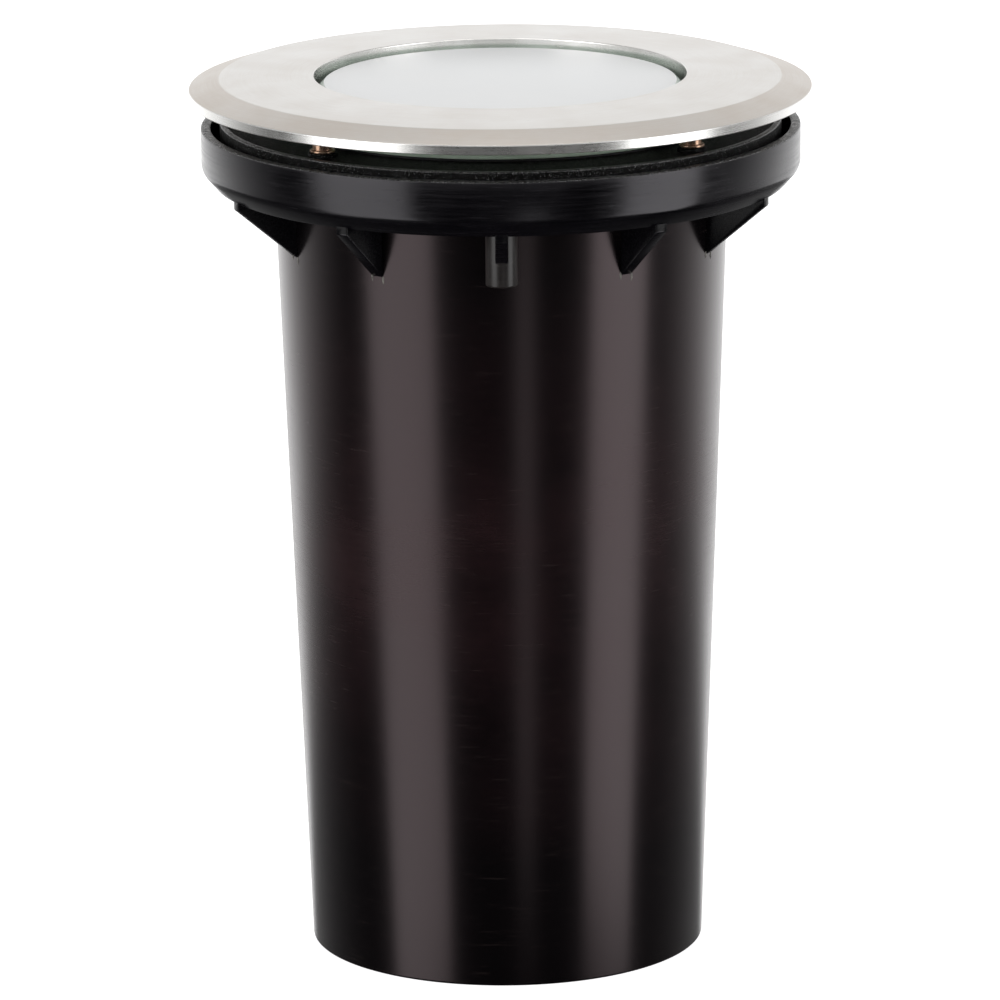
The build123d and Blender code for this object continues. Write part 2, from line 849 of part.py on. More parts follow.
def holder_contact():
    cavity_floor = pivot_height + holder_top - holder_cavity_depth
    lamp_tip = pivot_height + lamp_body_bottom - cap_length - cap_end_length - contact_height
    high = lamp_tip - seat_play
    foot = contact_radius + holder_contact_border
    return solid_of([
        (0, cavity_floor), (foot, cavity_floor), (foot, cavity_floor + holder_contact_foot),
        (contact_radius, high), (0, high),
    ])


def lamp_leads():
    """Two leads from the terminal block's top up into the lampholder."""
    holder_bottom = pivot_height + holder_top - holder_length
    block_top = housing_bottom + housing_floor + terminal_height
    rise = (holder_bottom - block_top) * lead_rise_share
    start = (terminal_offset, block_top - lead_entry * lead_tip_share)
    first = (terminal_offset, block_top + rise)
    second = (0.0, holder_bottom - rise)
    end = (0.0, holder_bottom + lead_entry)
    points = [start, first, second, end]
    turn = atan2(second[0] - first[0], second[1] - first[1])
    shorter = min(first[1] - start[1], end[1] - second[1])
    bend = lead_bend_share * shorter / tan(abs(turn) / 2)
    print(f"lead bend radius {bend:.1f}, turn {degrees(turn):.0f} degrees")
    leads = []
    for x in lead_places():
        route = FilletPolyline([(x, y, z) for y, z in points], radius=bend)
        section = Plane(origin=route @ 0, z_dir=route % 0) * Circle(lead_radius)
        lead = sweep(section, path=route)
        expected = pi * lead_radius ** 2 * route.length
        print(f"lead length {route.length:.1f}, volume ratio {lead.volume / expected:.4f}")
        leads.append(lead)
    return leads


def terminal_block():
    low = housing_bottom + housing_floor
    top = low + terminal_height
    width = terminal_ways * lead_spacing
    body = block(
        (-width / 2, width / 2),
        (terminal_offset - terminal_depth / 2, terminal_offset + terminal_depth / 2),
        (low, top),
    )
    body = fillet(body.edges().filter_by(Axis.Z), terminal_corner_round)
    lead_hole = disc(lead_hole_radius, top - lead_entry, top + cut_through)
    for x in lead_places():
        body -= Pos(x, terminal_offset, 0) * lead_hole
    screw_hole = disc(terminal_screw_radius + thread_play, top - lead_entry, top + cut_through)
    for place in terminal_screw_places():
        body -= place * screw_hole
    return body


def terminal_screw_places():
    places = []
    for way in range(terminal_ways):
        x = (way - (terminal_ways - 1) / 2) * lead_spacing
        for side in (-1, 1):
            y = terminal_offset + side * terminal_depth * terminal_screw_place
            places.append(Pos(x, y, 0))
    return places


def terminal_screws():
    block_top = housing_bottom + housing_floor + terminal_height
    top = block_top - terminal_screw_sink
    screw = disc(terminal_screw_radius, block_top - lead_entry + seat_play, top)
    slot = block(
        (-terminal_screw_radius, terminal_screw_radius),
        (-terminal_slot_width / 2, terminal_slot_width / 2),
        (top - terminal_slot_depth, top + cut_through),
    )
    return [place * (screw - slot) for place in terminal_screw_places()]


# --- cable gland in the housing's floor ---
def gland_body():
    hex_high = housing_bottom - gland_washer_thickness
    hex_low = hex_high - gland_hex_height
    neck_low = hex_low - gland_neck_length
    thread_top = housing_bottom + housing_floor + gland_thread_above
    body = hexagon(gland_across_flats, hex_low, hex_high)
    body += disc(gland_thread_radius, hex_high, thread_top)
    body += disc(gland_neck_radius, neck_low, hex_low)
    body -= disc(gland_bore_radius, neck_low - cut_through, thread_top + cut_through)
    return Pos(0, gland_offset, 0) * body


def gland_washer():
    outer = gland_across_flats / 2 - gland_washer_inset
    inner = gland_thread_radius + thread_play
    low = housing_bottom - gland_washer_thickness
    return Pos(0, gland_offset, 0) * tube(outer, inner, low, housing_bottom)


def gland_locknut():
    low = housing_bottom + housing_floor
    high = low + gland_locknut_height
    nut = hexagon(gland_across_flats, low, high)
    nut -= disc(gland_thread_radius + thread_play, low - cut_through, high + cut_through)
    return Pos(0, gland_offset, 0) * nut


def gland_seal():
    hex_low = housing_bottom - gland_washer_thickness - gland_hex_height
    low = hex_low - gland_neck_length
    seal = tube(gland_bore_radius - thread_play, seal_bore_radius, low, hex_low)
    return Pos(0, gland_offset, 0) * seal


def gland_nut():
    hex_low = housing_bottom - gland_washer_thickness - gland_hex_height
    high = hex_low - gland_nut_gap
    low = high - gland_nut_length
    cavity_low = hex_low - gland_neck_length - seat_play
    dome_top = low + gland_dome_height
    corner = gland_across_flats * gland_corner_ratio
    dome = solid_of([
        (0, low), (seal_bore_radius + seal_border, low),
        (gland_across_flats / 2 - gland_dome_inset, dome_top),
        (corner, dome_top + gland_cone_height), (corner, high), (0, high),
    ])
    nut = hexagon(gland_across_flats, low, high) & dome
    nut -= disc(gland_neck_radius + thread_play, cavity_low, high + cut_through)
    nut -= disc(seal_bore_radius + seat_play, low - cut_through, high)
    return Pos(0, gland_offset, 0) * nut


os.makedirs("parts", exist_ok=True)
nodes = [
    sleeve_canister, sleeve_collar, boss_inserts, cable_grommet, sleeve_gasket,
    trim_ring, ring_spacers, ring_screws, lens_glass, upper_gasket, lower_gasket, lens_frame,
    diffuser, diffuser_retainer, lamp_housing, housing_seal, housing_screws,
    gimbal_ring, gimbal_screws, pivot_pins, friction_washers, lamp_cradle, snap_ring,
    lamp_body, lamp_lens, led_board, led_chips, lamp_cap, cap_insulator, cap_contact,
    lampholder, holder_shell, holder_contact, lamp_leads, terminal_block, terminal_screws,
    gland_body, gland_washer, gland_locknut, gland_seal, gland_nut,
]
for node in nodes:
    save(node.__name__, node())
    print(node.__name__)
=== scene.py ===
# In ground well light: looks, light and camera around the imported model.
# Blender works in metres here, and sizes are written in mm.
from math import cos, hypot, pi, radians, sin, tan

import bmesh
import bpy
from mathutils import Matrix, Vector


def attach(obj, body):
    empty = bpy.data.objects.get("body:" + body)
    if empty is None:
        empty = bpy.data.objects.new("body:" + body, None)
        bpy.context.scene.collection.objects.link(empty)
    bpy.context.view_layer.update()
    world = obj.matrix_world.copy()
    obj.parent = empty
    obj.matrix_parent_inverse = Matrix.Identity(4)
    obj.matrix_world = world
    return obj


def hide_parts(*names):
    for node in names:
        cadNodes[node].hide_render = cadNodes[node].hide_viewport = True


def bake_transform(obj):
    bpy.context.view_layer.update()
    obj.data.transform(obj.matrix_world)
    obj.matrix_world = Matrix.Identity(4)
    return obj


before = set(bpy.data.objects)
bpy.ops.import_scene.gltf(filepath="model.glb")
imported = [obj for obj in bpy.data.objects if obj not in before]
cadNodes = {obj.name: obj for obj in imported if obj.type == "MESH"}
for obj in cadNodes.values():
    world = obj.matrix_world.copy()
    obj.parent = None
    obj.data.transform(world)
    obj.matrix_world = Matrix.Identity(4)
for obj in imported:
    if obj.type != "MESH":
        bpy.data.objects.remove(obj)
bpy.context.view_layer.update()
mm = 0.001
mergeNear = 0.002  # points closer than this are one point
edgeNear = 0.01  # how close an edge lies to the ring that is rounded
reach = 1.0  # how far a cutting tool goes past what it cuts
print("frame loaded,", len(cadNodes), "nodes")


# modelling helpers
def deselectAll():
    if bpy.context.mode != 'OBJECT':
        bpy.ops.object.mode_set(mode='OBJECT')
    bpy.ops.object.select_all(action='DESELECT')


def makeActive(piece):
    deselectAll()
    piece.select_set(True)
    bpy.context.view_layer.objects.active = piece


def combine(piece, tool, operation):
    makeActive(piece)
    modifier = piece.modifiers.new("combine", 'BOOLEAN')
    modifier.operation, modifier.solver, modifier.object = operation, 'EXACT', tool
    bpy.ops.object.modifier_apply(modifier=modifier.name)
    bpy.data.objects.remove(tool)


def cutAway(piece, tool):
    combine(piece, tool, 'DIFFERENCE')


def addOn(piece, extra):
    combine(piece, extra, 'UNION')


def drawLine(name, points, closed):
    # a plane merged to one vertex is drawn out along the points, in the XZ plane
    deselectAll()
    bpy.ops.mesh.primitive_plane_add(size=mm)
    piece = bpy.context.object
    piece.name = name
    bpy.ops.object.mode_set(mode='EDIT')
    bpy.ops.mesh.select_mode(type='VERT')
    bpy.ops.mesh.select_all(action='SELECT')
    bpy.ops.mesh.merge(type='CENTER')
    x, z = points[0]
    bpy.ops.transform.translate(value=(x * mm, 0, z * mm))
    for nextX, nextZ in points[1:] + (points[:1] if closed else []):
        step = ((nextX - x) * mm, 0, (nextZ - z) * mm)
        bpy.ops.mesh.extrude_region_move(TRANSFORM_OT_translate={"value": step})
        x, z = nextX, nextZ
    bpy.ops.mesh.select_all(action='SELECT')
    return piece


def roundRing(piece, radius, height, width, segments):
    # bevels the ring of edges at this radius and height; the piece is in edit mode
    bpy.ops.mesh.select_mode(type='EDGE')
    bpy.ops.mesh.select_all(action='DESELECT')
    mesh = bmesh.from_edit_mesh(piece.data)
    for edge in mesh.edges:
        edge.select = all(
            abs(hypot(v.co.x, v.co.y) / mm - radius) < edgeNear
            and abs(v.co.z / mm - height) < edgeNear for v in edge.verts)
    bmesh.update_edit_mesh(piece.data)
    bpy.ops.mesh.bevel(offset=width * mm, segments=segments, affect='EDGES')
    bpy.ops.mesh.select_mode(type='VERT')


def spinProfile(name, profile, rounds=None, steps=256, segments=3, fromAxis=0.0):
    # rounds holds the rounding of profile points, by their number in the profile
    onAxis = profile[0][0] == 0 and profile[-1][0] == 0
    piece = drawLine(name, profile, closed=not onAxis)
    bpy.ops.mesh.spin(steps=steps, angle=2 * pi, center=(0, 0, 0), axis=(0, 0, 1))
    bpy.ops.mesh.select_all(action='SELECT')
    bpy.ops.mesh.remove_doubles(threshold=mergeNear * mm)
    bpy.ops.mesh.normals_make_consistent(inside=False)
    for number, width in (rounds or {}).items():
        roundRing(piece, *profile[number], width, segments)
    bpy.ops.mesh.select_all(action='SELECT')
    bpy.ops.transform.translate(value=(fromAxis * mm, 0, 0))
    bpy.ops.object.mode_set(mode='OBJECT')
    return piece


def makePost(name, radius, low, high, fromAxis, steps, rounds=None):
    # an upright round post, on the X axis
    profile = [(0, low), (radius, low), (radius, high), (0, high)]
    return spinProfile(name, profile, rounds, steps, fromAxis=fromAxis)


def slabFrom(name, outline, thickness, edgeRound=0.0):
    # an outline of (x, z) points given a thickness in y
    piece = drawLine(name, outline, closed=True)
    bpy.ops.mesh.remove_doubles(threshold=mergeNear * mm)
    bpy.ops.transform.translate(value=(0, -thickness / 2 * mm, 0))
    bpy.ops.mesh.edge_face_add()
    bpy.ops.mesh.extrude_region_move(TRANSFORM_OT_translate={"value": (0, thickness * mm, 0)})
    bpy.ops.mesh.select_all(action='SELECT')
    bpy.ops.mesh.normals_make_consistent(inside=False)
    if edgeRound:
        bpy.ops.mesh.bevel(offset=edgeRound * mm, segments=2, affect='EDGES')
    bpy.ops.object.mode_set(mode='OBJECT')
    return piece


def makeBar(name, inner, outer, low, high, thickness, edgeRound=0.0):
    outline = [(inner, low), (outer, low), (outer, high), (inner, high)]
    return slabFrom(name, outline, thickness, edgeRound)


def anglesAround(count, start):
    return [radians(start + 360 * number / count) for number in range(count)]


def copyAround(piece, count, start=0.0):
    # copies to equal steps round the Z axis, each with its own mesh
    copies = []
    for number, angle in enumerate(anglesAround(count, start), 1):
        copy = piece.copy()
        copy.data = piece.data.copy()
        copy.data.transform(Matrix.Rotation(angle, 4, 'Z'))
        copy.name = f"{piece.name}{number}"
        bpy.context.collection.objects.link(copy)
        copies.append(copy)
    bpy.data.objects.remove(piece)
    return copies


def joinAll(pieces):
    deselectAll()
    for piece in pieces:
        piece.select_set(True)
    bpy.context.view_layer.objects.active = pieces[0]
    bpy.ops.object.join()
    return pieces[0]


def dressPiece(piece, materials, smoothAngle):
    makeActive(piece)
    bpy.ops.object.shade_smooth_by_angle(angle=radians(smoothAngle))
    piece.data.name = piece.name
    piece.data.materials.clear()
    for material in materials:
        piece.data.materials.append(material)


def placePiece(piece, materials, body, slotName, *replaced, smoothAngle=32):
    dressPiece(piece, materials, smoothAngle)
    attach(piece, body)
    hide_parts(*replaced)


def paintFaces(piece, choose):
    # choose gets a face, its height and its distance from the Z axis, and gives its slot's number
    for face in piece.data.polygons:
        radius = hypot(face.center.x, face.center.y) / mm
        face.material_index = choose(face, face.center.z / mm, radius)


# shader node helpers
def feed(tree, socket, source):
    if isinstance(source, bpy.types.NodeSocket):
        tree.links.new(source, socket)
    elif source is not None:
        socket.default_value = source


def addNode(tree, kind, inputs=None, **settings):
    node = tree.nodes.new("ShaderNode" + kind)
    for key, value in settings.items():
        setattr(node, key, value)
    for key, source in (inputs or {}).items():
        feed(tree, node.inputs[key], source)
    return node


def calc(tree, operation, a, b=None, clamp=False):
    node = addNode(tree, 'Math', {0: a, 1: b}, operation=operation)
    node.use_clamp = clamp
    return node.outputs[0]


def spread(tree, value, low, high, newLow=0.0, newHigh=1.0):
    ends = {"Value": value, "From Min": low, "From Max": high,
            "To Min": newLow, "To Max": newHigh}
    return addNode(tree, 'MapRange', ends).outputs[0]


def blendColours(tree, share, first, second):
    node = addNode(tree, 'Mix', {0: share, 6: first, 7: second}, data_type='RGBA')
    return node.outputs[2]


def mixShaders(tree, share, first, second):
    return addNode(tree, 'MixShader', {0: share, 1: first, 2: second}).outputs[0]


def splitXYZ(tree, place):
    return addNode(tree, 'SeparateXYZ', {0: place}).outputs


def joinXYZ(tree, *parts):
    return addNode(tree, 'CombineXYZ', dict(enumerate(parts))).outputs[0]


def clearTree(owner):
    owner.use_nodes = True
    owner.node_tree.nodes.clear()
    return owner.node_tree


def newShader(name):
    material = bpy.data.materials.new(name)
    tree = clearTree(material)
    output = addNode(tree, 'OutputMaterial')
    shader = addNode(tree, 'BsdfPrincipled')
    tree.links.new(shader.outputs[0], output.inputs[0])
    return material, tree, shader


def feedShader(tree, shader, colour, roughness, height, distance, values):
    bump = addNode(tree, 'Bump', {"Height": height, "Distance": distance, "Strength": 1.0})
    feed(tree, shader.inputs["Base Color"], colour)
    feed(tree, shader.inputs["Roughness"], roughness)
    feed(tree, shader.inputs["Normal"], bump.outputs[0])
    for label, value in values.items():
        shader.inputs[label].default_value = value


# the noise behind each effect; low and high are where its mask starts and is full
noiseLooks = {
    "clouds": {"detail": 4.0, "roughness": 0.6, "low": 0.34, "high": 0.66},
    "lines": {"detail": 3.0, "roughness": 0.65, "low": 0.28, "high": 0.72},
    "grain": {"detail": 2.0, "roughness": 0.5},
    "scratches": {"detail": 3.0, "roughness": 0.6, "low": 0.60, "high": 0.72,
                  "stretch": 0.06, "radiusShare": 0.8},
    "sparkle": {"detail": 0.0, "roughness": 0.5, "soft": 0.08},
    "dust": {"detail": 5.0, "roughness": 0.7, "low": 0.42, "high": 0.72,
             "leastUpward": 0.2},
}


def addNoise(tree, look, place, scale):
    noise = addNode(tree, 'TexNoise', {"Vector": place, "Scale": scale, "Detail": look["detail"],
                                       "Roughness": look["roughness"]}).outputs[0]
    return spread(tree, noise, look["low"], look["high"]) if "low" in look else noise


def newGroup(name, *inputs):
    # every group reads a place and the named numbers, and puts out one value
    group = bpy.data.node_groups.new(name, 'ShaderNodeTree')
    group.interface.new_socket(name="Vector", in_out='INPUT', socket_type='NodeSocketVector')
    for label in inputs:
        group.interface.new_socket(name=label, in_out='INPUT', socket_type='NodeSocketFloat')
    group.interface.new_socket(name="Mask", in_out='OUTPUT', socket_type='NodeSocketFloat')
    start, end = group.nodes.new('NodeGroupInput'), group.nodes.new('NodeGroupOutput')
    return group, end, *start.outputs[:len(inputs) + 1]


def useGroup(tree, group, place, **numbers):
    node = addNode(tree, 'Group', node_tree=group)
    feed(tree, node.inputs["Vector"], place)
    for key, source in numbers.items():
        feed(tree, node.inputs[key], source)
    return node.outputs[0]


def distanceFromAxis(tree, parts):
    flat = joinXYZ(tree, parts[0], parts[1])
    return addNode(tree, 'VectorMath', {0: flat}, operation='LENGTH').outputs[1]


def buildClouds():
    # broad soft patches, as on handled plastic and metal
    tree, end, place, scale = newGroup("clouds", "Scale")
    feed(tree, end.inputs[0], addNoise(tree, noiseLooks["clouds"], place, scale))
    return tree


def buildTurnedLines():
    # fine lines that run round the Z axis, on walls and on faces, broken up along their length
    tree, end, place, lines, breaks = newGroup("turnedLines", "Lines", "Breaks")
    parts = splitXYZ(tree, place)
    radius = distanceFromAxis(tree, parts)
    along = [calc(tree, 'MULTIPLY', part, breaks) for part in parts[:2]]
    across = joinXYZ(
        tree, calc(tree, 'ADD', calc(tree, 'MULTIPLY', radius, lines), along[0]),
        calc(tree, 'ADD', calc(tree, 'MULTIPLY', parts[2], lines), along[1]), along[0])
    feed(tree, end.inputs[0], addNoise(tree, noiseLooks["lines"], across, 1.0))
    return tree


def buildGrain():
    # the fine skin of a moulding, a casting or a coat of powder
    tree, end, place, scale = newGroup("skinGrain", "Scale")
    feed(tree, end.inputs[0], addNoise(tree, noiseLooks["grain"], place, scale))
    return tree


def buildScratches():
    # short fine scuffs that run round the Z axis, on walls and on faces
    look = noiseLooks["scratches"]
    tree, end, place, scale, amount = newGroup("fineScratches", "Scale", "Amount")
    parts = splitXYZ(tree, place)
    radius = distanceFromAxis(tree, parts)
    depth = calc(tree, 'ADD', parts[2], calc(tree, 'MULTIPLY', radius, look["radiusShare"]))
    along = [calc(tree, 'MULTIPLY', part, look["stretch"]) for part in parts[:2]]
    mark = addNoise(tree, look, joinXYZ(tree, *along, depth), scale)
    feed(tree, end.inputs[0], calc(tree, 'MULTIPLY', mark, amount))
    return tree


def buildPaintedGlints():
    # painted glints: bright specks painted into a coarse coat's colour, where its texture would
    # glint in the light
    look = noiseLooks["sparkle"]
    tree, end, place, scale, least = newGroup("paintedGlintSpecks", "Scale", "Least")
    noise = addNoise(tree, look, place, scale)
    feed(tree, end.inputs[0],
         spread(tree, noise, least, calc(tree, 'ADD', least, look["soft"])))
    return tree


def buildDust():
    # dust that settles on what faces up, in patches
    look = noiseLooks["dust"]
    tree, end, place, scale, amount = newGroup("settledDust", "Scale", "Amount")
    facing = splitXYZ(tree, addNode(tree, 'NewGeometry').outputs["Normal"])
    upward = spread(tree, facing[2], look["leastUpward"], 1.0)
    share = calc(tree, 'MULTIPLY', upward, addNoise(tree, look, place, scale))
    feed(tree, end.inputs[0], calc(tree, 'MULTIPLY', share, amount))
    return tree


def buildPaintedShadeBand():
    # full between two heights, fading out over the soft distance; finishes use it to paint shade by
    # height
    tree, end, place, low, high, soft = newGroup("paintedShadeBand", "Low", "High", "Soft")
    height = splitXYZ(tree, place)[2]
    rise = calc(tree, 'DIVIDE', calc(tree, 'SUBTRACT', height, low), soft, clamp=True)
    fall = calc(tree, 'DIVIDE', calc(tree, 'SUBTRACT', high, height), soft, clamp=True)
    feed(tree, end.inputs[0], calc(tree, 'MULTIPLY', rise, fall))
    return tree


clouds, turnedLines, skinGrain = buildClouds(), buildTurnedLines(), buildGrain()
fineScratches, settledDust, paintedShadeBand = buildScratches(), buildDust(), buildPaintedShadeBand()
paintedGlintSpecks = buildPaintedGlints()

# what a finish has unless its own settings say otherwise; lines holds how close they lie and how
# often they break, band the low and high end and soft distance of painted shade by height, and the
# painted glints their scale and least noise
usualFinish = {
    "centre": (0, 0, 0), "lines": None, "lineShare": 0.5, "band": None, "bandShift": 0.0,
    "scratches": 0.2, "scratchScale": 900.0, "scratchRoughness": 0.15,
    "sparkle": None, "sparkleColour": (0.32, 0.32, 0.32),
    "dust": 0.0, "dustScale": 120.0, "dustColour": (0.45, 0.43, 0.40), "dustRoughness": 0.3,
    "shader": {},
}


def mixValues(tree, share, first, second):
    return calc(tree, 'ADD', calc(tree, 'MULTIPLY', first, 1 - share),
                calc(tree, 'MULTIPLY', second, share))


def roughen(tree, roughness, mask, amount):
    return calc(tree, 'ADD', roughness, calc(tree, 'MULTIPLY', mask, amount), clamp=True)


def makeFinish(name, look):
    # colour and roughness run between two values by clouds and lines; a height band can paint shade
    # into the colour; scratches, painted glints and dust lie on top
    look = {**usualFinish, **look}
    material, tree, shader = newShader(name)
    centre = [-v * mm for v in look["centre"]]
    coords = addNode(tree, 'TexCoord').outputs["Object"]
    place = addNode(tree, 'Mapping', {"Vector": coords, "Location": centre}).outputs[0]
    mask = useGroup(tree, clouds, place, Scale=look["clouds"])
    grainScale, grainHeight = look["grain"]
    height = calc(tree, 'MULTIPLY', useGroup(tree, skinGrain, place, Scale=grainScale),
                  grainHeight)
    if look["lines"]:
        lineScale, breakScale = look["lines"]
        line = useGroup(tree, turnedLines, place, Lines=lineScale, Breaks=breakScale)
        mask = mixValues(tree, look["lineShare"], mask, line)
        height = calc(tree, 'ADD', calc(tree, 'MULTIPLY', line, look["lineHeight"]), height)
    # painted shade: the lighter tone is kept inside the height band, or shifted towards it
    if look["band"]:
        low, high, soft = look["band"]
        band = useGroup(tree, paintedShadeBand, place, Low=low * mm, High=high * mm, Soft=soft * mm)
        if look["bandShift"]:
            mask = mixValues(tree, look["bandShift"], mask, band)
        else:
            mask = calc(tree, 'MULTIPLY', mask, band)
    scratch = useGroup(tree, fineScratches, place, Scale=look["scratchScale"],
                       Amount=look["scratches"])
    colour = blendColours(tree, mask, (*look["dark"], 1), (*look["light"], 1))
    colour = blendColours(tree, scratch, colour, (*look.get("scratchColour", look["light"]), 1))
    roughness = spread(tree, mask, 0.0, 1.0, *look["roughness"])
    roughness = roughen(tree, roughness, scratch, look["scratchRoughness"])
    # painted glints: bright specks mixed into the colour
    if look["sparkle"]:
        paintedGlintScale, least = look["sparkle"]
        paintedGlintMask = useGroup(tree, paintedGlintSpecks, place, Scale=paintedGlintScale, Least=least)
        colour = blendColours(tree, paintedGlintMask, colour, (*look["sparkleColour"], 1))
    if look["dust"]:
        dust = useGroup(tree, settledDust, place, Scale=look["dustScale"], Amount=look["dust"])
        colour = blendColours(tree, dust, colour, (*look["dustColour"], 1))
        roughness = roughen(tree, roughness, dust, look["dustRoughness"])
    feedShader(tree, shader, colour, roughness, height, mm, look["shader"])
    return material


def dressNode(node, material):
    piece = cadNodes[node]
    if piece.material_slots:
        for place in piece.material_slots:
            place.material = material
    else:
        piece.data.materials.append(material)


# camera, fitted to the photograph
cameraSettings = {"place": (0, -2.46264, 0.75425), "pitch": 76.11, "yaw": 0.03, "roll": -0.52,
                  "lens": 281.04, "sensor": 36.0, "clip": (0.1, 50)}


def makeCamera(look):
    data = bpy.data.cameras.new("camera")
    data.lens, data.sensor_width = look["lens"], look["sensor"]
    data.clip_start, data.clip_end = look["clip"]
    camera = bpy.data.objects.new("camera", data)
    bpy.context.collection.objects.link(camera)
    camera.location = look["place"]
    turn = (Matrix.Rotation(radians(look["yaw"]), 3, 'Z')
            @ Matrix.Rotation(radians(look["pitch"]), 3, 'X')
            @ Matrix.Rotation(radians(look["roll"]), 3, 'Z'))
    camera.rotation_euler = turn.to_euler()
    bpy.context.scene.camera = camera


makeCamera(cameraSettings)
print("camera placed")

# soft boxes stand round the light; azimuth is from the camera's side, to the right
boxDistance = 2.0
softboxes = {
    "leftBox": {"azimuth": -54, "size": (1.35, 2.75), "height": -0.08, "radiance": 1.9},
    "middleCard": {"azimuth": 11.5, "size": (0.34, 0.95), "height": -0.7, "radiance": 0.75},
    "rightBox": {"azimuth": 63, "size": (1.15, 2.5), "height": 0.02, "radiance": 2.25},
}
topBox = {"size": (1.6, 1.6), "place": (0, 0.2, 1.9), "radiance": 1.3}


def addLamp(name, size, place, aim, radiance):
    data = bpy.data.lights.new(name, 'AREA')
    data.shape = 'RECTANGLE'
    data.size, data.size_y = size
    data.energy = radiance * pi * size[0] * size[1]
    lamp = bpy.data.objects.new(name, data)
    bpy.context.collection.objects.link(lamp)
    lamp.location = place
    lamp.rotation_euler = (Vector(aim) - Vector(place)).to_track_quat('-Z', 'Y').to_euler()


for name, box in softboxes.items():
    angle, height = radians(box["azimuth"]), box["height"]
    place = (boxDistance * sin(angle), -boxDistance * cos(angle), height)
    addLamp(name, box["size"], place, (0, 0, height), box["radiance"])
addLamp("topBox", topBox["size"], topBox["place"], (0, 0, 0), topBox["radiance"])

worldLook = {
    "front": 0.022, "frontHigh": 1.1, "frontRise": (0.02, 0.2),
    "back": 1.5, "backFade": (-0.1, 0.82), "fadePower": 1.5, "rightShift": 0.12, "diffuse": 0.5,
    # low and high end of each change of tone with height, and the share left below and above it
    "bands": [(-0.3, 0.2, 1.0, 0.68), (0.4, 0.8, 1.0, 0.26 / 0.68), (-0.335, -0.31, 0.12, 1.0),
              (-0.9, -0.55, 0.5, 1.0)],
}


def makeWorld(look):
    # white to the camera and through glass; reflections see white behind the light and high in
    # front, and dark low in front; the soft light itself is even
    world = bpy.data.worlds.new("studio")
    bpy.context.scene.world = world
    tree = clearTree(world)
    right, away, up = splitXYZ(tree, addNode(tree, 'TexCoord').outputs["Generated"])
    rightward = calc(tree, 'MULTIPLY', spread(tree, right, 0.0, 1.0), look["rightShift"])
    depth = calc(tree, 'ADD', away, rightward)
    back = calc(tree, 'POWER', spread(tree, depth, *look["backFade"]), look["fadePower"])
    back = calc(tree, 'MULTIPLY', back, look["back"])
    front = spread(tree, up, *look["frontRise"], look["front"], look["frontHigh"])
    tone = calc(tree, 'MAXIMUM', back, front)
    for band in look["bands"]:
        tone = calc(tree, 'MULTIPLY', tone, spread(tree, up, *band))
    rays = addNode(tree, 'LightPath').outputs
    white, mirrored, even = (
        addNode(tree, 'Background', {"Color": (1, 1, 1, 1), "Strength": strength}).outputs[0]
        for strength in (1.0, tone, look["diffuse"]))
    seen = calc(tree, 'MAXIMUM', rays["Is Camera Ray"], rays["Is Transmission Ray"])
    soft = mixShaders(tree, rays["Is Glossy Ray"], even, mirrored)
    output = addNode(tree, 'OutputWorld')
    tree.links.new(mixShaders(tree, seen, soft, white), output.inputs[0])


makeWorld(worldLook)

floorLook = {"size": 12, "colour": (0.86, 0.86, 0.86, 1), "glow": 0.8}


def makeFloor(look):
    # white to the camera, with a faint shadow; from below it is clear, to show the foot
    deselectAll()
    bpy.ops.mesh.primitive_plane_add(size=look["size"])
    floor = bpy.context.object
    floor.name = "floor"
    material = bpy.data.materials.new("paleFloor")
    tree = clearTree(material)
    rays = addNode(tree, 'LightPath').outputs
    under = addNode(tree, 'NewGeometry').outputs["Backfacing"]
    white = addNode(tree, 'BsdfDiffuse', {"Color": look["colour"]}).outputs[0]
    glow = addNode(tree, 'Emission', {"Color": (1, 1, 1, 1), "Strength": look["glow"]}).outputs[0]
    lit = addNode(tree, 'AddShader', {0: white, 1: glow}).outputs[0]
    top = mixShaders(tree, rays["Is Camera Ray"], white, lit)
    clear = addNode(tree, 'BsdfTransparent').outputs[0]
    output = addNode(tree, 'OutputMaterial')
    tree.links.new(mixShaders(tree, under, top, clear), output.inputs[0])
    floor.data.materials.append(material)
    floor.visible_glossy = False
    floor.visible_shadow = False


makeFloor(floorLook)
scene = bpy.context.scene
scene.view_settings.view_transform = 'Standard'
print("light and floor placed")

# canister: a tapered cup with a raised floor, ribs under it and drain holes
canister = {
    "topRadius": 73.0, "topAt": 252.0, "height": 255.5, "draft": 2.09, "wall": 3.2,
    "floorLow": 16.0, "floorHigh": 20.0, "grommetHole": 7.4,
    "ribs": 6, "ribInner": 13.4, "ribThickness": 2.5, "ribLow": 8.0, "ribRound": 0.3,
    "drains": 6, "drainRadius": 4.5, "drainCircle": 42.0, "drainSteps": 48,
    "footRound": 0.8, "edgeRound": 0.5, "floorFillet": 1.5,
}
canisterLook = {
    # painted reflection colour: the reddish lighter tone and the warm specular tint below give the
    # highlights the colour of warm lamps
    "dark": (0.0009, 0.0007, 0.0010), "light": (0.0125, 0.0045, 0.0054),
    "roughness": (0.22, 0.30), "clouds": 14.0, "lines": (1400.0, 70.0), "lineShare": 0.25,
    # painted shade: the lighter tone fades out towards 40 mm and 235 mm, so the cup is darker
    # towards the foot and under the collar
    "band": (40.0, 235.0, 85.0), "lineHeight": 0.0008, "grain": (2600.0, 0.0006),
    "scratches": 0.2, "scratchScale": 1400.0, "scratchColour": (0.030, 0.022, 0.020),
    "shader": {"IOR": 1.5, "Specular Tint": (1.0, 0.80, 0.83, 1.0)},
}


def canisterOutside(height):
    drop = canister["topAt"] - height
    return canister["topRadius"] - drop * tan(radians(canister["draft"]))


def canisterInside(height):
    return canisterOutside(height) - canister["wall"]


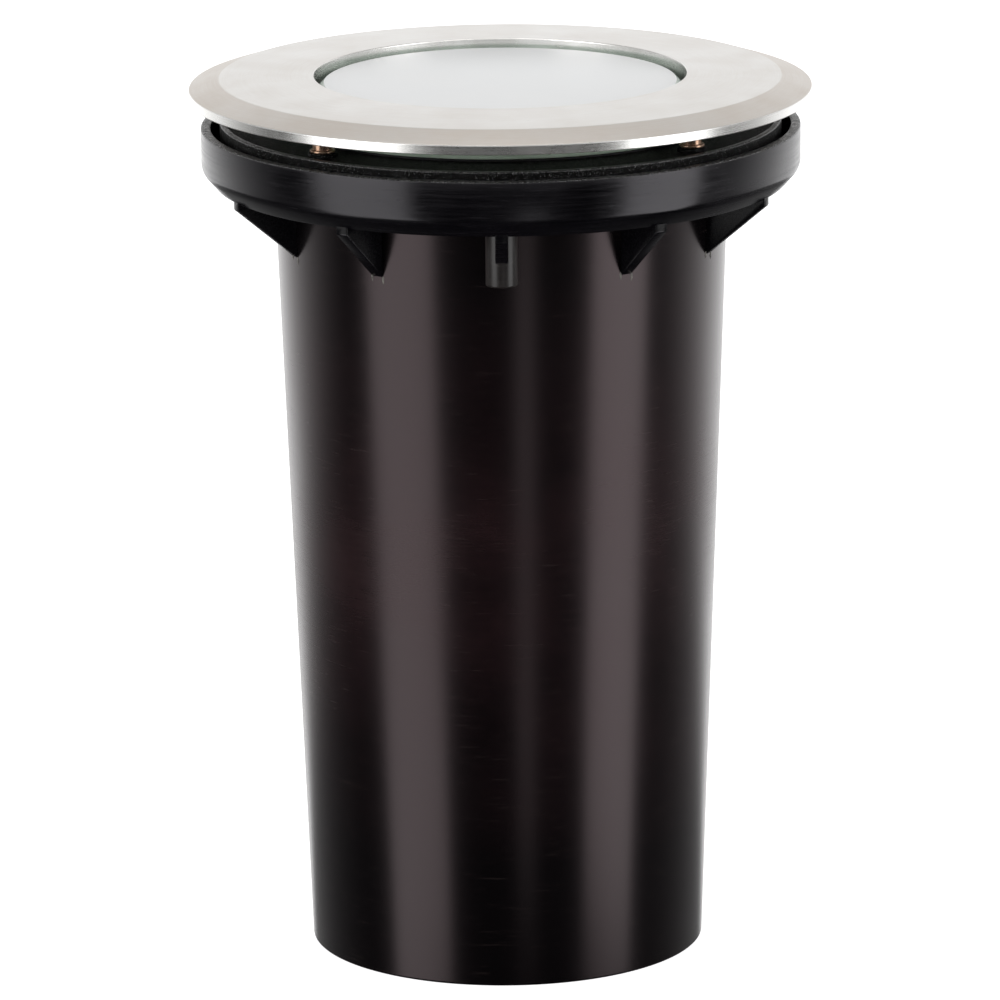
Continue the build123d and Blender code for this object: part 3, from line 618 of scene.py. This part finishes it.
def makeCanister(look):
    top, low, high = look["height"], look["floorLow"], look["floorHigh"]
    hole, edge, fillet = look["grommetHole"], look["edgeRound"], look["floorFillet"]
    profile = [
        (canisterInside(0), 0), (canisterOutside(0), 0), (canisterOutside(top), top),
        (canisterInside(top), top), (canisterInside(high), high), (hole, high), (hole, low),
        (canisterInside(low), low),
    ]
    rounds = {0: edge, 1: look["footRound"], 3: edge, 4: fillet, 5: edge, 6: edge, 7: fillet}
    piece = spinProfile("canister", profile, rounds)
    rib = makeBar("rib", look["ribInner"], canisterInside(0) + look["wall"] / 2, look["ribLow"],
                  (low + high) / 2, look["ribThickness"], look["ribRound"])
    addOn(piece, joinAll(copyAround(rib, look["ribs"], 180 / look["ribs"])))
    drain = makePost("drain", look["drainRadius"], low - reach, high + reach,
                     look["drainCircle"], look["drainSteps"])
    cutAway(piece, joinAll(copyAround(drain, look["drains"])))
    placePiece(piece, [makeFinish("canisterPolymer", canisterLook)], "sleeve",
               "canister_polymer", "sleeve_canister")


makeCanister(canister)
print("canister made")

# collar: rim and ledge, with gussets and screw bosses under it
collar = {
    "radius": 96.3, "inside": 93.1, "top": 270.2, "ledgeTop": 255.5, "ledgeLow": 252.0,
    "chamferHeight": 5.0, "chamferWidth": 4.5, "bondGap": 0.15, "rimRound": 0.6,
    "edgeRound": 0.4, "chamferRound": 1.6, "front": -90.0,
    "gussets": 11, "gussetThickness": 4.1, "gussetEdge": 92.4, "gussetEdgeLow": 250.0,
    "gussetLow": 233.0, "gussetRoot": 1.6, "gussetRound": 0.35,
    "bosses": 3, "bossCircle": 77.5, "bossRadius": 5.15, "bossLow": 233.5, "bossRound": 0.7,
    "bossSteps": 64, "webInset": 0.01, "insertRadius": 3.5, "insertTop": 245.5,
    "insertSteps": 48, "coreBelow": 40, "coreAbove": 5,
    "rimSkin": 0.36, "litBossSkin": 0.02, "sideTilt": 0.15,
}
collarLook = {
    "dark": (0.0003, 0.0003, 0.0006), "light": (0.0030, 0.0026, 0.0037),
    "roughness": (0.12, 0.32), "clouds": 34.0, "lines": (1300.0, 40.0), "lineShare": 0.6,
    "lineHeight": 0.0072, "grain": (3200.0, 0.0008), "scratches": 0.25, "scratchScale": 1500.0,
    "scratchColour": (0.018, 0.016, 0.019), "dust": 0.12, "dustScale": 900.0,
    # painted reflection colour: the cool specular tint gives the collar's reflections a bluish cast
    "shader": {"IOR": 1.5, "Specular Tint": (0.97, 0.94, 1.0, 1.0)},
}
# collar rim top: a real coarse grain, with painted glints as bright specks in its colour
rimGrainAndGlintsLook = {
    "dark": (0.0004, 0.0004, 0.0005), "light": (0.0050, 0.0050, 0.0055),
    "roughness": (0.20, 0.42), "clouds": 500.0, "grain": (2200.0, 0.22), "scratches": 0.1,
    "sparkle": (4200.0, 0.58), "shader": {"IOR": 1.5},
}
# painted shade: the gusset sides are a copy of the collar's finish with weak reflection, standing
# in for their shade
shadedGussetSideLook = {**collarLook, "roughness": (0.18, 0.34), "scratches": 0.1,
                  "shader": {"IOR": 1.5, "Specular IOR Level": 0.15}}
# painted light: the bosses get a lighter, browner copy of the collar's moulding, where light falls
# on them; their lines and scratches are real
litBossLook = {
    "dark": (0.0035, 0.0028, 0.0028), "light": (0.020, 0.016, 0.015),
    "roughness": (0.26, 0.42), "clouds": 160.0, "lines": (1700.0, 80.0), "lineHeight": 0.003,
    "grain": (2600.0, 0.002), "scratches": 0.4, "scratchColour": (0.05, 0.045, 0.04),
}


def makeCollar(look):
    low, high, radius = look["ledgeLow"], look["ledgeTop"], look["radius"]
    circle, front = look["bossCircle"], look["front"]
    bore = canisterOutside(low)
    profile = [
        (bore, low), (radius - look["chamferWidth"], low), (radius, low + look["chamferHeight"]),
        (radius, look["top"]), (look["inside"], look["top"]), (look["inside"], high),
        (bore, high),
    ]
    rounds = {1: look["edgeRound"], 2: look["chamferRound"], 3: look["rimRound"],
              4: look["rimRound"], 5: look["edgeRound"]}
    piece = spinProfile("collar", profile, rounds)
    root = canisterOutside(look["gussetLow"])
    inner, top = root - look["gussetRoot"], (low + high) / 2
    gusset = slabFrom("gusset", [
        (inner, look["gussetLow"]), (root, look["gussetLow"]),
        (look["gussetEdge"], look["gussetEdgeLow"]), (look["gussetEdge"], top), (inner, top),
    ], look["gussetThickness"], look["gussetRound"])
    addOn(piece, joinAll(copyAround(gusset, look["gussets"], front)))
    boss = makePost("boss", look["bossRadius"], look["bossLow"], top, circle, look["bossSteps"],
                    {1: look["bossRound"]})
    web = makeBar("web", inner, circle, look["bossLow"], top,
                  2 * (look["bossRadius"] - look["webInset"]))
    addOn(boss, web)
    addOn(piece, joinAll(copyAround(boss, look["bosses"], front)))
    coreLow, coreHigh = low - look["coreBelow"], high + look["coreAbove"]
    core = spinProfile("core", [
        (0, coreLow), (canisterOutside(coreLow) + look["bondGap"], coreLow),
        (canisterOutside(coreHigh) + look["bondGap"], coreHigh), (0, coreHigh)])
    cutAway(piece, core)
    hole = makePost("hole", look["insertRadius"], look["bossLow"] - reach, look["insertTop"],
                    circle, look["insertSteps"])
    cutAway(piece, joinAll(copyAround(hole, look["bosses"], front)))
    finishes = [makeFinish("collarPolymer", collarLook), makeFinish("rimGrainAndGlints", rimGrainAndGlintsLook),
                makeFinish("litBossSkin", litBossLook), makeFinish("shadedGussetSide", shadedGussetSideLook)]
    placePiece(piece, finishes, "sleeve", "collar_polymer", "sleeve_collar")
    bosses = [Vector((circle * cos(angle), circle * sin(angle)))
              for angle in anglesAround(look["bosses"], front)]

    def chooseSkin(face, height, _):
        if height > look["top"] - look["rimSkin"]:
            return 1
        if height < low:
            spot = face.center.xy / mm
            if any((spot - boss).length < look["bossRadius"] + look["litBossSkin"] for boss in bosses):
                return 2
            if abs(face.normal.z) < look["sideTilt"]:
                return 3
        return 0

    paintFaces(piece, chooseSkin)


# beads of set adhesive where the gussets' tips meet the canister, one at each side
bead = {"width": 0.45, "depth": 0.4, "length": 1.5, "drop": 0.9, "sunk": 0.15, "tipShare": 0.7,
        "tipFrom": -0.3, "stagger": 0.8, "segments": 16, "rings": 12, "smoothAngle": 60}
beadLook = {"dark": (0.06, 0.055, 0.050), "light": (0.20, 0.19, 0.17), "roughness": (0.16, 0.34),
            "clouds": 900.0, "grain": (2000.0, 0.02), "scratches": 0.0}


def makeBeads(look):
    deselectAll()
    bpy.ops.mesh.primitive_uv_sphere_add(segments=look["segments"], ring_count=look["rings"],
                                         radius=mm)
    piece = bpy.context.object
    piece.name = "bondBead"
    bpy.ops.object.mode_set(mode='EDIT')
    bpy.ops.mesh.select_all(action='SELECT')
    bpy.ops.transform.resize(value=(look["depth"], look["width"], look["length"]))
    bpy.ops.mesh.select_all(action='DESELECT')
    mesh = bmesh.from_edit_mesh(piece.data)
    for vertex in mesh.verts:
        vertex.select = vertex.co.z < look["tipFrom"] * look["length"] * mm
    bmesh.update_edit_mesh(piece.data)
    bpy.ops.transform.resize(value=(look["tipShare"], look["tipShare"], 1.0))
    bpy.ops.mesh.select_all(action='SELECT')
    height = collar["gussetLow"] - look["drop"]
    radius = canisterOutside(height) - look["sunk"]
    side = collar["gussetThickness"] / 2
    bpy.ops.transform.translate(value=(radius * mm, side * mm, height * mm))
    bpy.ops.mesh.duplicate()
    bpy.ops.transform.translate(value=(0, -2 * side * mm, look["stagger"] * mm))
    bpy.ops.object.mode_set(mode='OBJECT')
    copies = copyAround(piece, collar["gussets"], collar["front"])
    bpy.data.objects.remove(copies.pop(0))  # the front gusset ends on a boss
    beads = joinAll(copies)
    beads.name = "bondBeads"
    dressPiece(beads, [makeFinish("setAdhesive", beadLook)], look["smoothAngle"])
    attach(beads, "sleeve")


makeCollar(collar)
makeBeads(bead)
print("collar made")

# trim ring: brushed stainless, with a bevelled top, and a polished edge and opening
trimRing = {
    "outer": 99.98, "opening": 59.8, "low": 279.4, "edgeTop": 282.5, "bevelRadius": 90.0,
    "bevelTop": 285.7, "top": 286.48, "edgeRound": 0.3, "bevelRound": 0.2, "openingRound": 0.4,
    "screws": 4, "screwStart": 47.0, "screwCircle": 82.0, "screwHole": 2.05, "screwDepth": 4.5,
    "screwSteps": 32, "edgeBand": 0.1, "openingBand": 0.2,
}
trimRingLook = {
    # painted shade: the band lifts the top face to the lighter tone, so the bevel is painted darker
    # and warmer
    "dark": (0.635, 0.578, 0.522), "light": (0.755, 0.745, 0.725), "band": (285.55, 300.0, 0.12),
    "bandShift": 0.5, "roughness": (0.42, 0.27), "clouds": 45.0, "lines": (2600.0, 70.0),
    "lineShare": 0.45, "lineHeight": 0.0008, "grain": (1800.0, 0.0004), "scratches": 0.08,
    "scratchColour": (0.74, 0.73, 0.72), "shader": {"Metallic": 1.0},
}
polishedEdgeLook = {
    "dark": (0.80, 0.79, 0.76), "light": (0.94, 0.935, 0.92), "roughness": (0.22, 0.32),
    "clouds": 60.0, "lines": (2600.0, 30.0), "lineHeight": 0.0008, "grain": (1800.0, 0.0004),
    "shader": {"Metallic": 1.0},
}
openingWallLook = {**polishedEdgeLook, "dark": (0.70, 0.69, 0.66), "light": (0.96, 0.95, 0.93),
                   "roughness": (0.34, 0.18), "lineHeight": 0.0004}


def makeTrimRing(look):
    profile = [
        (look["opening"], look["low"]), (look["outer"], look["low"]),
        (look["outer"], look["edgeTop"]), (look["bevelRadius"], look["bevelTop"]),
        (look["opening"], look["top"]),
    ]
    rounds = {0: look["edgeRound"], 1: look["edgeRound"], 2: look["edgeRound"],
              3: look["bevelRound"], 4: look["openingRound"]}
    piece = spinProfile("trimRing", profile, rounds)
    hole = makePost("hole", look["screwHole"], look["low"] - reach,
                    look["low"] + look["screwDepth"], look["screwCircle"], look["screwSteps"])
    cutAway(piece, joinAll(copyAround(hole, look["screws"], look["screwStart"])))
    finishes = [makeFinish("brushedStainless", trimRingLook),
                makeFinish("polishedEdge", polishedEdgeLook),
                makeFinish("openingWall", openingWallLook)]
    placePiece(piece, finishes, "lamp_unit", "brushed_stainless", "trim_ring", smoothAngle=12)

    def chooseSkin(face, height, radius):
        if radius > look["outer"] - look["edgeBand"]:
            return 1
        return 2 if radius < look["opening"] + look["openingBand"] else 0

    paintFaces(piece, chooseSkin)


makeTrimRing(trimRing)
print("trim ring made")

# spacers between the ring and the frame
spacer = {"bore": 2.25, "low": 273.0, "footRadius": 4.0, "footTop": 274.0, "radius": 3.2,
          "top": 279.4, "groove": 0.35, "grooveHalf": 0.5, "grooveFlat": 0.2,
          "rounds": {1: 0.25, 2: 0.35, 8: 0.2}, "steps": 64}
spacerLook = {
    "dark": (0.34, 0.20, 0.13), "light": (0.62, 0.44, 0.33),
    "roughness": (0.20, 0.34), "clouds": 300.0, "lines": (4000.0, 60.0),
    "lineHeight": 0.002, "grain": (3000.0, 0.0008), "scratches": 0.3,
    "shader": {"Metallic": 1.0},
}


def makeSpacers(look):
    bore, radius, top = look["bore"], look["radius"], look["top"]
    waist = radius - look["groove"]
    middle = (look["footTop"] + top) / 2
    profile = [
        (bore, look["low"]), (look["footRadius"], look["low"]),
        (look["footRadius"], look["footTop"]), (radius, look["footTop"]),
        (radius, middle - look["grooveHalf"]), (waist, middle - look["grooveFlat"]),
        (waist, middle + look["grooveFlat"]), (radius, middle + look["grooveHalf"]),
        (radius, top), (bore, top),
    ]
    piece = spinProfile("ringSpacer", profile, look["rounds"], look["steps"],
                        fromAxis=trimRing["screwCircle"])
    material = makeFinish("brightBrass", spacerLook)
    for copy in copyAround(piece, trimRing["screws"], trimRing["screwStart"]):
        placePiece(copy, [material], "lamp_unit", "bright_brass", "ring_spacers")


makeSpacers(spacer)
print("spacers made")

# glass: a stepped clear disc with a frosted top, a ground chamfer and flange edge, and the
# black seal that lies on its shoulder under the ring
glass = {
    "low": 272.4, "flangeRadius": 71.9, "shoulder": 278.4, "bossRadius": 58.3, "top": 284.0,
    "flangeChamfer": 0.5, "topChamfer": 1.7, "chamferRound": 0.15,
    "flangeBand": 0.6, "paintedShadeBand": 0.05,
}
clearGlassLook = {
    "dark": (0.955, 0.985, 0.965, 1), "light": (0.97, 0.99, 0.975, 1), "clouds": 30.0,
    "roughness": (0.01, 0.05), "scratchScale": 700.0, "scratches": 0.08, "grain": 60.0,
    "grainHeight": 0.004, "shader": {"IOR": 1.5, "Transmission Weight": 1.0},
}
frostLook = {"dark": (0.80, 0.81, 0.815), "light": (0.84, 0.845, 0.845),
             "roughness": (0.30, 0.42), "clouds": 18.0, "grain": (1500.0, 0.003),
             "scratches": 0.05}
groundEdgeLook = {"dark": (0.52, 0.65, 0.52), "light": (0.72, 0.88, 0.72),
                  "roughness": (0.30, 0.48), "clouds": 60.0, "grain": (1800.0, 0.004)}
chamferLook = {"dark": (0.34, 0.42, 0.37), "light": (0.50, 0.58, 0.53),
               "roughness": (0.14, 0.26), "clouds": 60.0, "grain": (1800.0, 0.003),
               "scratches": 0.1}
sealLook = {"dark": (0.002, 0.0025, 0.002), "light": (0.006, 0.007, 0.006),
            "roughness": (0.40, 0.55), "clouds": 200.0, "grain": (2400.0, 0.01),
            "scratches": 0.0, "shader": {"IOR": 1.45}}


def makeClearGlass(look):
    material, tree, shader = newShader("toughenedGlass")
    place = addNode(tree, 'TexCoord').outputs["Object"]
    patch = useGroup(tree, clouds, place, Scale=look["clouds"])
    mark = useGroup(tree, fineScratches, place, Scale=look["scratchScale"],
                    Amount=look["scratches"])
    colour = blendColours(tree, patch, look["dark"], look["light"])
    roughness = calc(tree, 'ADD', spread(tree, patch, 0.0, 1.0, *look["roughness"]), mark)
    height = useGroup(tree, skinGrain, place, Scale=look["grain"])
    feedShader(tree, shader, colour, roughness, height, look["grainHeight"] * mm, look["shader"])
    return material


def makeGlass(look):
    low, shoulder, top = look["low"], look["shoulder"], look["top"]
    flange, boss, chamfer = look["flangeRadius"], look["bossRadius"], look["topChamfer"]
    profile = [
        (0, low), (flange, low), (flange, shoulder), (boss, shoulder), (boss, top - chamfer),
        (boss - chamfer, top), (0, top),
    ]
    rounds = {1: look["flangeChamfer"], 2: look["flangeChamfer"], 4: look["chamferRound"],
              5: look["chamferRound"]}
    piece = spinProfile("lensGlass", profile, rounds, segments=2)
    finishes = [makeClearGlass(clearGlassLook), makeFinish("frostedTop", frostLook),
                makeFinish("groundEdge", groundEdgeLook),
                makeFinish("groundChamfer", chamferLook), makeFinish("blackSeal", sealLook)]
    placePiece(piece, finishes, "lamp_unit", "lens_glass", "lens_glass", smoothAngle=25)
    near = look["paintedShadeBand"]

    def chooseSkin(face, height, radius):
        if height > top - near:
            return 1
        if radius > flange - look["flangeBand"]:
            return 2
        if height > shoulder + near:
            return 3
        return 4 if height > shoulder - near else 0

    paintFaces(piece, chooseSkin)


makeGlass(glass)
print("glass made")

# lens frame: cast, with a coarse powder coat
lensFrame = {
    "opening": 56.5, "hubLow": 261.5, "hubRadius": 62.75, "webLow": 266.9, "skirtInside": 88.0,
    "low": 257.5, "radius": 90.2, "rimTop": 272.2, "rimInside": 88.4, "top": 271.6,
    "seatRadius": 59.0, "seat": 268.2, "front": -90.0,
    "rounds": {0: 0.4, 1: 0.4, 2: 0.8, 3: 0.8, 4: 0.3, 5: 0.5, 6: 0.5, 7: 0.25, 9: 0.3},
    "ribs": 12, "ribInner": 75.3, "ribOuter": 89.1, "ribLow": 261.9, "ribThickness": 3.0,
    "ribRound": 0.4, "padRadius": 4.7, "padTop": 273.0, "padRound": 0.4, "padSteps": 48,
    "padHole": 2.25, "holeSteps": 32,
    "blinds": 6, "blindStart": 30, "blindHole": 2.05, "blindTop": 270.9, "blindCircle": 69.9,
}
# the frame's coat has painted glints, bright specks in its colour
lensFrameLook = {
    "dark": (0.0003, 0.0003, 0.0003), "light": (0.0030, 0.0030, 0.0030),
    "roughness": (0.50, 0.66), "clouds": 600.0, "grain": (2200.0, 0.06),
    "scratches": 0.1, "scratchColour": (0.02, 0.02, 0.02), "sparkle": (4200.0, 0.70),
    "shader": {"IOR": 1.5, "Specular IOR Level": 0.08},
}
# painted light: the outer rim is a lighter, shinier copy of the frame's coat, with more painted
# glints, where light catches it
litFrameRimLook = {**lensFrameLook, "light": (0.0050, 0.0050, 0.0055), "roughness": (0.22, 0.44),
                "grain": (2200.0, 0.16), "sparkle": (4200.0, 0.585),
                "shader": {"IOR": 1.5, "Specular IOR Level": 0.4}}


def makeLensFrame(look):
    web, top = look["webLow"], look["top"]
    profile = [
        (look["opening"], look["hubLow"]), (look["hubRadius"], look["hubLow"]),
        (look["hubRadius"], web), (look["skirtInside"], web),
        (look["skirtInside"], look["low"]), (look["radius"], look["low"]),
        (look["radius"], look["rimTop"]), (look["rimInside"], look["rimTop"]),
        (look["rimInside"], top), (look["seatRadius"], top),
        (look["seatRadius"], look["seat"]), (look["opening"], look["seat"]),
    ]
    piece = spinProfile("lensFrame", profile, look["rounds"])
    middle = (web + top) / 2
    rib = makeBar("rib", look["ribInner"], look["ribOuter"], look["ribLow"], middle,
                  look["ribThickness"], look["ribRound"])
    addOn(piece, joinAll(copyAround(rib, look["ribs"], look["front"])))
    screws, start, circle = trimRing["screws"], trimRing["screwStart"], trimRing["screwCircle"]
    pad = makePost("pad", look["padRadius"], middle, look["padTop"], circle, look["padSteps"],
                   {2: look["padRound"]})
    addOn(piece, joinAll(copyAround(pad, screws, start)))
    hole = makePost("hole", look["padHole"], web - 2 * reach, look["padTop"] + reach, circle,
                    look["holeSteps"])
    cutAway(piece, joinAll(copyAround(hole, screws, start)))
    blind = makePost("blind", look["blindHole"], web - reach, look["blindTop"],
                     look["blindCircle"], look["holeSteps"])
    cutAway(piece, joinAll(copyAround(blind, look["blinds"], look["blindStart"])))
    finishes = [makeFinish("castFrame", lensFrameLook), makeFinish("litFrameRim", litFrameRimLook)]
    placePiece(piece, finishes, "lamp_unit", "cast_frame", "lens_frame")

    def chooseSkin(face, height, radius):
        return 1 if radius > look["skirtInside"] and height > web else 0

    paintFaces(piece, chooseSkin)


makeLensFrame(lensFrame)
print("lens frame made")

# two leads from the terminal block to the holder
leads = {
    "radius": 1.2, "apart": 6.0, "flexLow": 79.5, "flexHigh": 113.0, "smoothAngle": 40,
    "route": [(-34.0, 78.4), (-34.0, 93.24), (0.0, 96.76), (0.0, 114.0)],
    "order": 3, "resolution": 16, "roundness": 5,
}
leadLook = {"dark": (0.40, 0.045, 0.035), "light": (0.55, 0.075, 0.055),
            "roughness": (0.40, 0.52), "clouds": 200.0, "grain": (3000.0, 0.002),
            "scratches": 0.1}


def makeLead(look, side, name, material):
    curve = bpy.data.curves.new("lampLead", 'CURVE')
    curve.dimensions = '3D'
    curve.bevel_depth, curve.bevel_resolution = look["radius"] * mm, look["roundness"]
    curve.use_fill_caps = True
    spline = curve.splines.new('NURBS')
    spline.points.add(len(look["route"]) - 1)
    for point, (y, z) in zip(spline.points, look["route"]):
        point.co = (side * look["apart"] * mm, y * mm, z * mm, 1)
    spline.order_u, spline.resolution_u = look["order"], look["resolution"]
    spline.use_endpoint_u = True
    lead = bpy.data.objects.new("lampLead", curve)
    bpy.context.collection.objects.link(lead)
    makeActive(lead)
    bpy.ops.object.convert(target='MESH')
    lead = bpy.context.object
    lead.name = name
    dressPiece(lead, [material], look["smoothAngle"])
    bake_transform(lead)
    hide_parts("lamp_leads")


leadMaterial = makeFinish("leadSleeve", leadLook)
makeLead(leads, -1, "lampLeadLeft", leadMaterial)
makeLead(leads, 1, "lampLeadRight", leadMaterial)
print("leads made")

# finishes of the CAD nodes that keep their shape
rubberLook = {"dark": (0.010, 0.010, 0.010), "light": (0.020, 0.020, 0.020),
              "roughness": (0.50, 0.68), "clouds": 90.0, "grain": (2500.0, 0.004),
              "scratches": 0.1, "dust": 0.2, "shader": {"IOR": 1.5}}
siliconeLook = {"dark": (0.012, 0.012, 0.012), "light": (0.028, 0.028, 0.028),
                "roughness": (0.38, 0.52), "clouds": 70.0, "grain": (2200.0, 0.002),
                "scratches": 0.1, "shader": {"IOR": 1.43}}
brassLook = {"dark": (0.52, 0.36, 0.15), "light": (0.78, 0.60, 0.30), "roughness": (0.22, 0.40),
             "clouds": 240.0, "grain": (1800.0, 0.0015), "lines": (3500.0, 50.0),
             "lineHeight": 0.002, "scratches": 0.3, "shader": {"Metallic": 1.0}}
fastenerLook = {"dark": (0.50, 0.49, 0.47), "light": (0.70, 0.69, 0.67),
                "roughness": (0.24, 0.40), "clouds": 260.0, "grain": (1800.0, 0.0015),
                "scratches": 0.4, "shader": {"Metallic": 1.0}}
opalLook = {"dark": (0.84, 0.86, 0.87), "light": (0.88, 0.89, 0.895), "roughness": (0.55, 0.62),
            "clouds": 40.0, "grain": (1500.0, 0.002), "scratches": 0.0, "shader": {"IOR": 1.49}}
whiteLook = {"dark": (0.80, 0.82, 0.86), "light": (0.86, 0.87, 0.90), "roughness": (0.36, 0.48),
             "clouds": 60.0, "grain": (1500.0, 0.002), "scratches": 0.1}
housingLook = {"dark": (0.011, 0.011, 0.012), "light": (0.020, 0.020, 0.022),
               "roughness": (0.30, 0.44), "clouds": 22.0, "lines": (700.0, 14.0),
               "lineHeight": 0.003, "grain": (2400.0, 0.001), "scratches": 0.3,
               "scratchColour": (0.05, 0.05, 0.05), "shader": {"IOR": 1.5}}
aluminiumLook = {"dark": (0.62, 0.63, 0.64), "light": (0.80, 0.81, 0.82),
                 "roughness": (0.26, 0.42), "clouds": 50.0, "lines": (3000.0, 20.0),
                 "lineHeight": 0.0018, "grain": (1800.0, 0.001), "scratches": 0.3,
                 "shader": {"Metallic": 1.0}}
nylonLook = {"dark": (0.74, 0.73, 0.68), "light": (0.84, 0.83, 0.79), "roughness": (0.38, 0.52),
             "clouds": 90.0, "grain": (1600.0, 0.003), "scratches": 0.1}
lampWhiteLook = {"dark": (0.76, 0.76, 0.75), "light": (0.86, 0.86, 0.85),
                 "roughness": (0.42, 0.60), "clouds": 60.0, "grain": (1500.0, 0.02),
                 "scratches": 0.1, "dust": 0.15}
boardLook = {"dark": (0.84, 0.84, 0.82), "light": (0.90, 0.90, 0.89), "roughness": (0.28, 0.40),
             "clouds": 120.0, "grain": (1200.0, 0.002), "scratches": 0.05}
phosphorLook = {"dark": (0.86, 0.66, 0.16), "light": (0.93, 0.80, 0.32),
                "roughness": (0.35, 0.55), "clouds": 500.0, "grain": (3500.0, 0.004),
                "scratches": 0.0}
capLook = {"dark": (0.60, 0.58, 0.54), "light": (0.78, 0.76, 0.72), "roughness": (0.14, 0.28),
           "clouds": 120.0, "lines": (3000.0, 40.0), "lineHeight": 0.0012,
           "grain": (2000.0, 0.0008), "scratches": 0.4, "shader": {"Metallic": 1.0}}
blackLook = {"dark": (0.012, 0.012, 0.012), "light": (0.020, 0.020, 0.020),
             "roughness": (0.28, 0.40), "clouds": 150.0, "grain": (2400.0, 0.001)}
ceramicLook = {"dark": (0.80, 0.78, 0.72), "light": (0.88, 0.86, 0.81),
               "roughness": (0.16, 0.26), "clouds": 60.0, "grain": (300.0, 0.02),
               "scratches": 0.05, "dust": 0.1, "shader": {"Coat Weight": 0.4}}
glandLook = {"dark": (0.018, 0.018, 0.018), "light": (0.034, 0.034, 0.034),
             "roughness": (0.36, 0.50), "clouds": 110.0, "grain": (2200.0, 0.003),
             "scratches": 0.3, "scratchColour": (0.09, 0.09, 0.09), "centre": (0, 24, 0)}
nodeFinishes = {
    "brass": (brassLook, ["boss_inserts", "cap_contact", "holder_shell", "holder_contact",
                          "terminal_screws"]),
    "blackRubber": (rubberLook, ["cable_grommet", "sleeve_gasket", "gland_washer", "gland_seal"]),
    "stainlessFastener": (fastenerLook, ["ring_screws", "housing_screws", "gimbal_screws",
                                         "pivot_pins", "snap_ring"]),
    "silicone": (siliconeLook, ["upper_gasket", "lower_gasket", "housing_seal"]),
    "opalDiffuser": (opalLook, ["diffuser"]),
    "whitePolymer": (whiteLook, ["diffuser_retainer"]),
    "housingPolymer": (housingLook, ["lamp_housing"]),
    "bareAluminium": (aluminiumLook, ["gimbal_ring", "lamp_cradle"]),
    "whiteNylon": (nylonLook, ["friction_washers", "terminal_block"]),
    "lampWhite": (lampWhiteLook, ["lamp_body"]),
    "boardWhite": (boardLook, ["led_board"]),
    "phosphor": (phosphorLook, ["led_chips"]),
    "nickelBrass": (capLook, ["lamp_cap"]),
    "blackPlastic": (blackLook, ["cap_insulator"]),
    "glazedCeramic": (ceramicLook, ["lampholder"]),
    "glandNylon": (glandLook, ["gland_body", "gland_locknut", "gland_nut"]),
    "frostedLens": ({**opalLook, "shader": {"IOR": 1.49, "Transmission Weight": 0.6}},
                    ["lamp_lens"]),
}
for name, (look, names) in nodeFinishes.items():
    material = makeFinish(name, look)
    for node in names:
        dressNode(node, material)
print("CAD nodes dressed")
